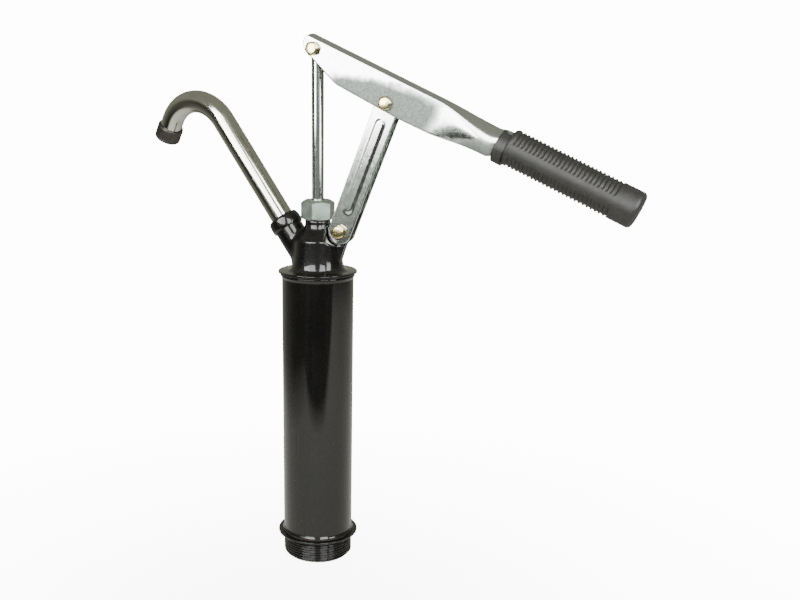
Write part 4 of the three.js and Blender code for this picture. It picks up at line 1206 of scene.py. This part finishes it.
def floor():
    """A pale sheet that fades into the white background a little way from the pump."""
    reach = 1.4
    rim = [Vector(v) * reach for v in circle(1.0, 0, 96)]
    verts = [(0, 0, FLOOR_LOW)] + [(v.x, v.y, FLOOR_LOW) for v in rim]
    mesh = bpy.data.meshes.new("floor")
    mesh.from_pydata(verts, [], [(0, j + 1, (j + 1) % len(rim) + 1) for j in range(len(rim))])
    s = Shader("floor_paper", IOR=1.3, Specular_IOR_Level=0.1)
    colour = s.mottle(s.noise(3.0, 3), (0.66, 0.65, 0.59), (0.72, 0.71, 0.65))
    s.finish("floor", colour, 0.9, s.bump(s.noise(400, 3), 0.03, 0.0003))
    seen = s.node("ShaderNodeLightPath").outputs["Is Camera Ray"]

    def measure(operation, vector):
        made = s.node("ShaderNodeVectorMath", {"operation": operation})
        s.feed(made.inputs[0], s.coords)
        made.inputs[1].default_value = vector
        return made.outputs["Value"]

    forward, right = measure("DOT_PRODUCT", (*FRONT, 0)), measure("DOT_PRODUCT", (*RIGHT, 0))
    away = measure("DISTANCE", (0.05, -0.14, FLOOR_LOW))
    wide = measure("DISTANCE", (0.25 * RIGHT[0], 0.25 * RIGHT[1], FLOOR_LOW))
    spread = s.times(s.remap(right, 0.15, 1.0), 0.3)
    front_edge = s.remap(s.less(forward, spread), 0.37, 0.47)
    fade_reflected = s.math("MAXIMUM", front_edge, s.remap(wide, 0.62, 0.85))
    fade_camera = s.remap(away, 0.10, 0.50)
    fade = s.add(s.times(fade_camera, seen), s.times(fade_reflected, s.less(1.0, seen)))
    glow = s.node("ShaderNodeEmission", Color=(1, 1, 1, 1), Strength=8.0)
    lit = s.node("ShaderNodeAddShader")
    s.feed(lit.inputs[0], glow.outputs[0])
    s.feed(lit.inputs[1], s.surface.outputs[0])
    sheet = s.pick(seen, s.surface.outputs[0], lit.outputs[0])
    whole = s.pick(fade, sheet, s.node("ShaderNodeBsdfTransparent").outputs[0])
    s.feed(s.tree.nodes["Material Output"].inputs["Surface"], whole)
    mesh.materials.append(s.material)
    link("floor", mesh)


def card(name, azimuth, distance, width, low, high, strength, colour=(1, 1, 1), fade=0.02):
    """A glowing upright card, seen only in reflections, that fades in over its lower edge."""
    ahead = heading(azimuth)
    across = Vector((-ahead.y, ahead.x)) * (width / 2)
    left, right = ahead * distance - across, ahead * distance + across
    mesh = bpy.data.meshes.new(name)
    mesh.from_pydata([(*left, low), (*right, low), (*right, high), (*left, high)], [], [(0, 1, 2, 3)])
    material = bpy.data.materials.new(name)
    material.use_nodes = True
    material.node_tree.nodes.clear()
    n = Nodes(material.node_tree)
    height = n.node("ShaderNodeSeparateXYZ", Vector=n.coords).outputs["Z"]
    rise = n.remap(height, low, low + fade, 0.0, strength)
    glow = n.node("ShaderNodeEmission", Color=(*colour, 1), Strength=rise)
    n.node("ShaderNodeOutputMaterial", Surface=glow.outputs[0])
    mesh.materials.append(material)
    sheet = link(name, mesh)
    sheet.visible_camera = sheet.visible_diffuse = sheet.visible_shadow = sheet.visible_transmission = False


def world():
    """White to the camera; to reflections a studio that is dark in front and olive grey behind."""
    studio = bpy.data.worlds.new("studio")
    bpy.context.scene.world = studio
    studio.use_nodes = True
    studio.node_tree.nodes.clear()
    n = Nodes(studio.node_tree, "Generated")

    def ramp(source, stops):
        """Colours over a coordinate that runs from -1 to 1."""
        share = n.node("ShaderNodeMath", {"operation": "MULTIPLY_ADD"})
        for index, value in enumerate((source, 0.5, 0.5)):
            n.feed(share.inputs[index], value)
        node = n.node("ShaderNodeValToRGB", Fac=share.outputs[0])
        elements = node.color_ramp.elements
        for element, (position, colour) in zip(elements, (stops[0], stops[-1])):
            element.position, element.color = position, (*colour, 1)
        for position, colour in stops[1:-1]:
            elements.new(position).color = (*colour, 1)
        return node.outputs[0]

    def background(colour, strength=1.0):
        return n.node("ShaderNodeBackground", Color=colour, Strength=strength).outputs[0]

    turn = (0, 0, -atan2(-FRONT[1], -FRONT[0]))
    turned = n.node("ShaderNodeMapping", Vector=n.coords, Rotation=turn)
    split = n.node("ShaderNodeSeparateXYZ", Vector=turned.outputs[0])
    # X is now +1 straight behind the pump and -1 on the camera's side, Y is +1 on the left
    around = [(0.0, (0.02, 0.02, 0.02)), (0.35, (0.04, 0.04, 0.038)), (0.5, (0.13, 0.13, 0.11))]
    around += [(0.75, (0.30, 0.30, 0.25)), (1.0, (0.42, 0.415, 0.34))]
    rising = [(0.0, (0, 0, 0)), (0.52, (0, 0, 0)), (0.68, (1, 1, 1)), (1.0, (1, 1, 1))]
    both = n.blend(
        ramp(split.outputs["Z"], rising), ramp(split.outputs["X"], around), (0.30, 0.305, 0.255)
    )
    path = n.node("ShaderNodeLightPath").outputs
    lit = n.pick(path["Is Glossy Ray"], background((1, 1, 0.98, 1), 0.35), background(both))
    whole = n.pick(path["Is Camera Ray"], lit, background((1, 1, 1, 1), 14.0))
    n.node("ShaderNodeOutputWorld", Surface=whole)


camera()
world()
floor()
softbox("softbox_left", -26, 27, 1.5, 0.75, 0.95, 26)
softbox("softbox_right", 21, 27, 1.5, 0.60, 0.95, 22)
softbox("softbox_top", 0, 86, 1.6, 1.4, 1.4, 9, mirrored=False)
card("left_card", -48, 0.52, 0.24, 0.310, 0.60, 17.0, fade=0.03)
card("left_low_card", -48, 0.521, 0.26, 0.185, 0.60, 0.36, (0.92, 1.0, 0.88))
card("front_card", 0, 2.5, 3.6, -0.10, 0.92, 0.30, (0.88, 1.0, 0.92))
card("right_card", 49, 0.54, 0.17, 0.255, 0.60, 12.0, fade=0.04)
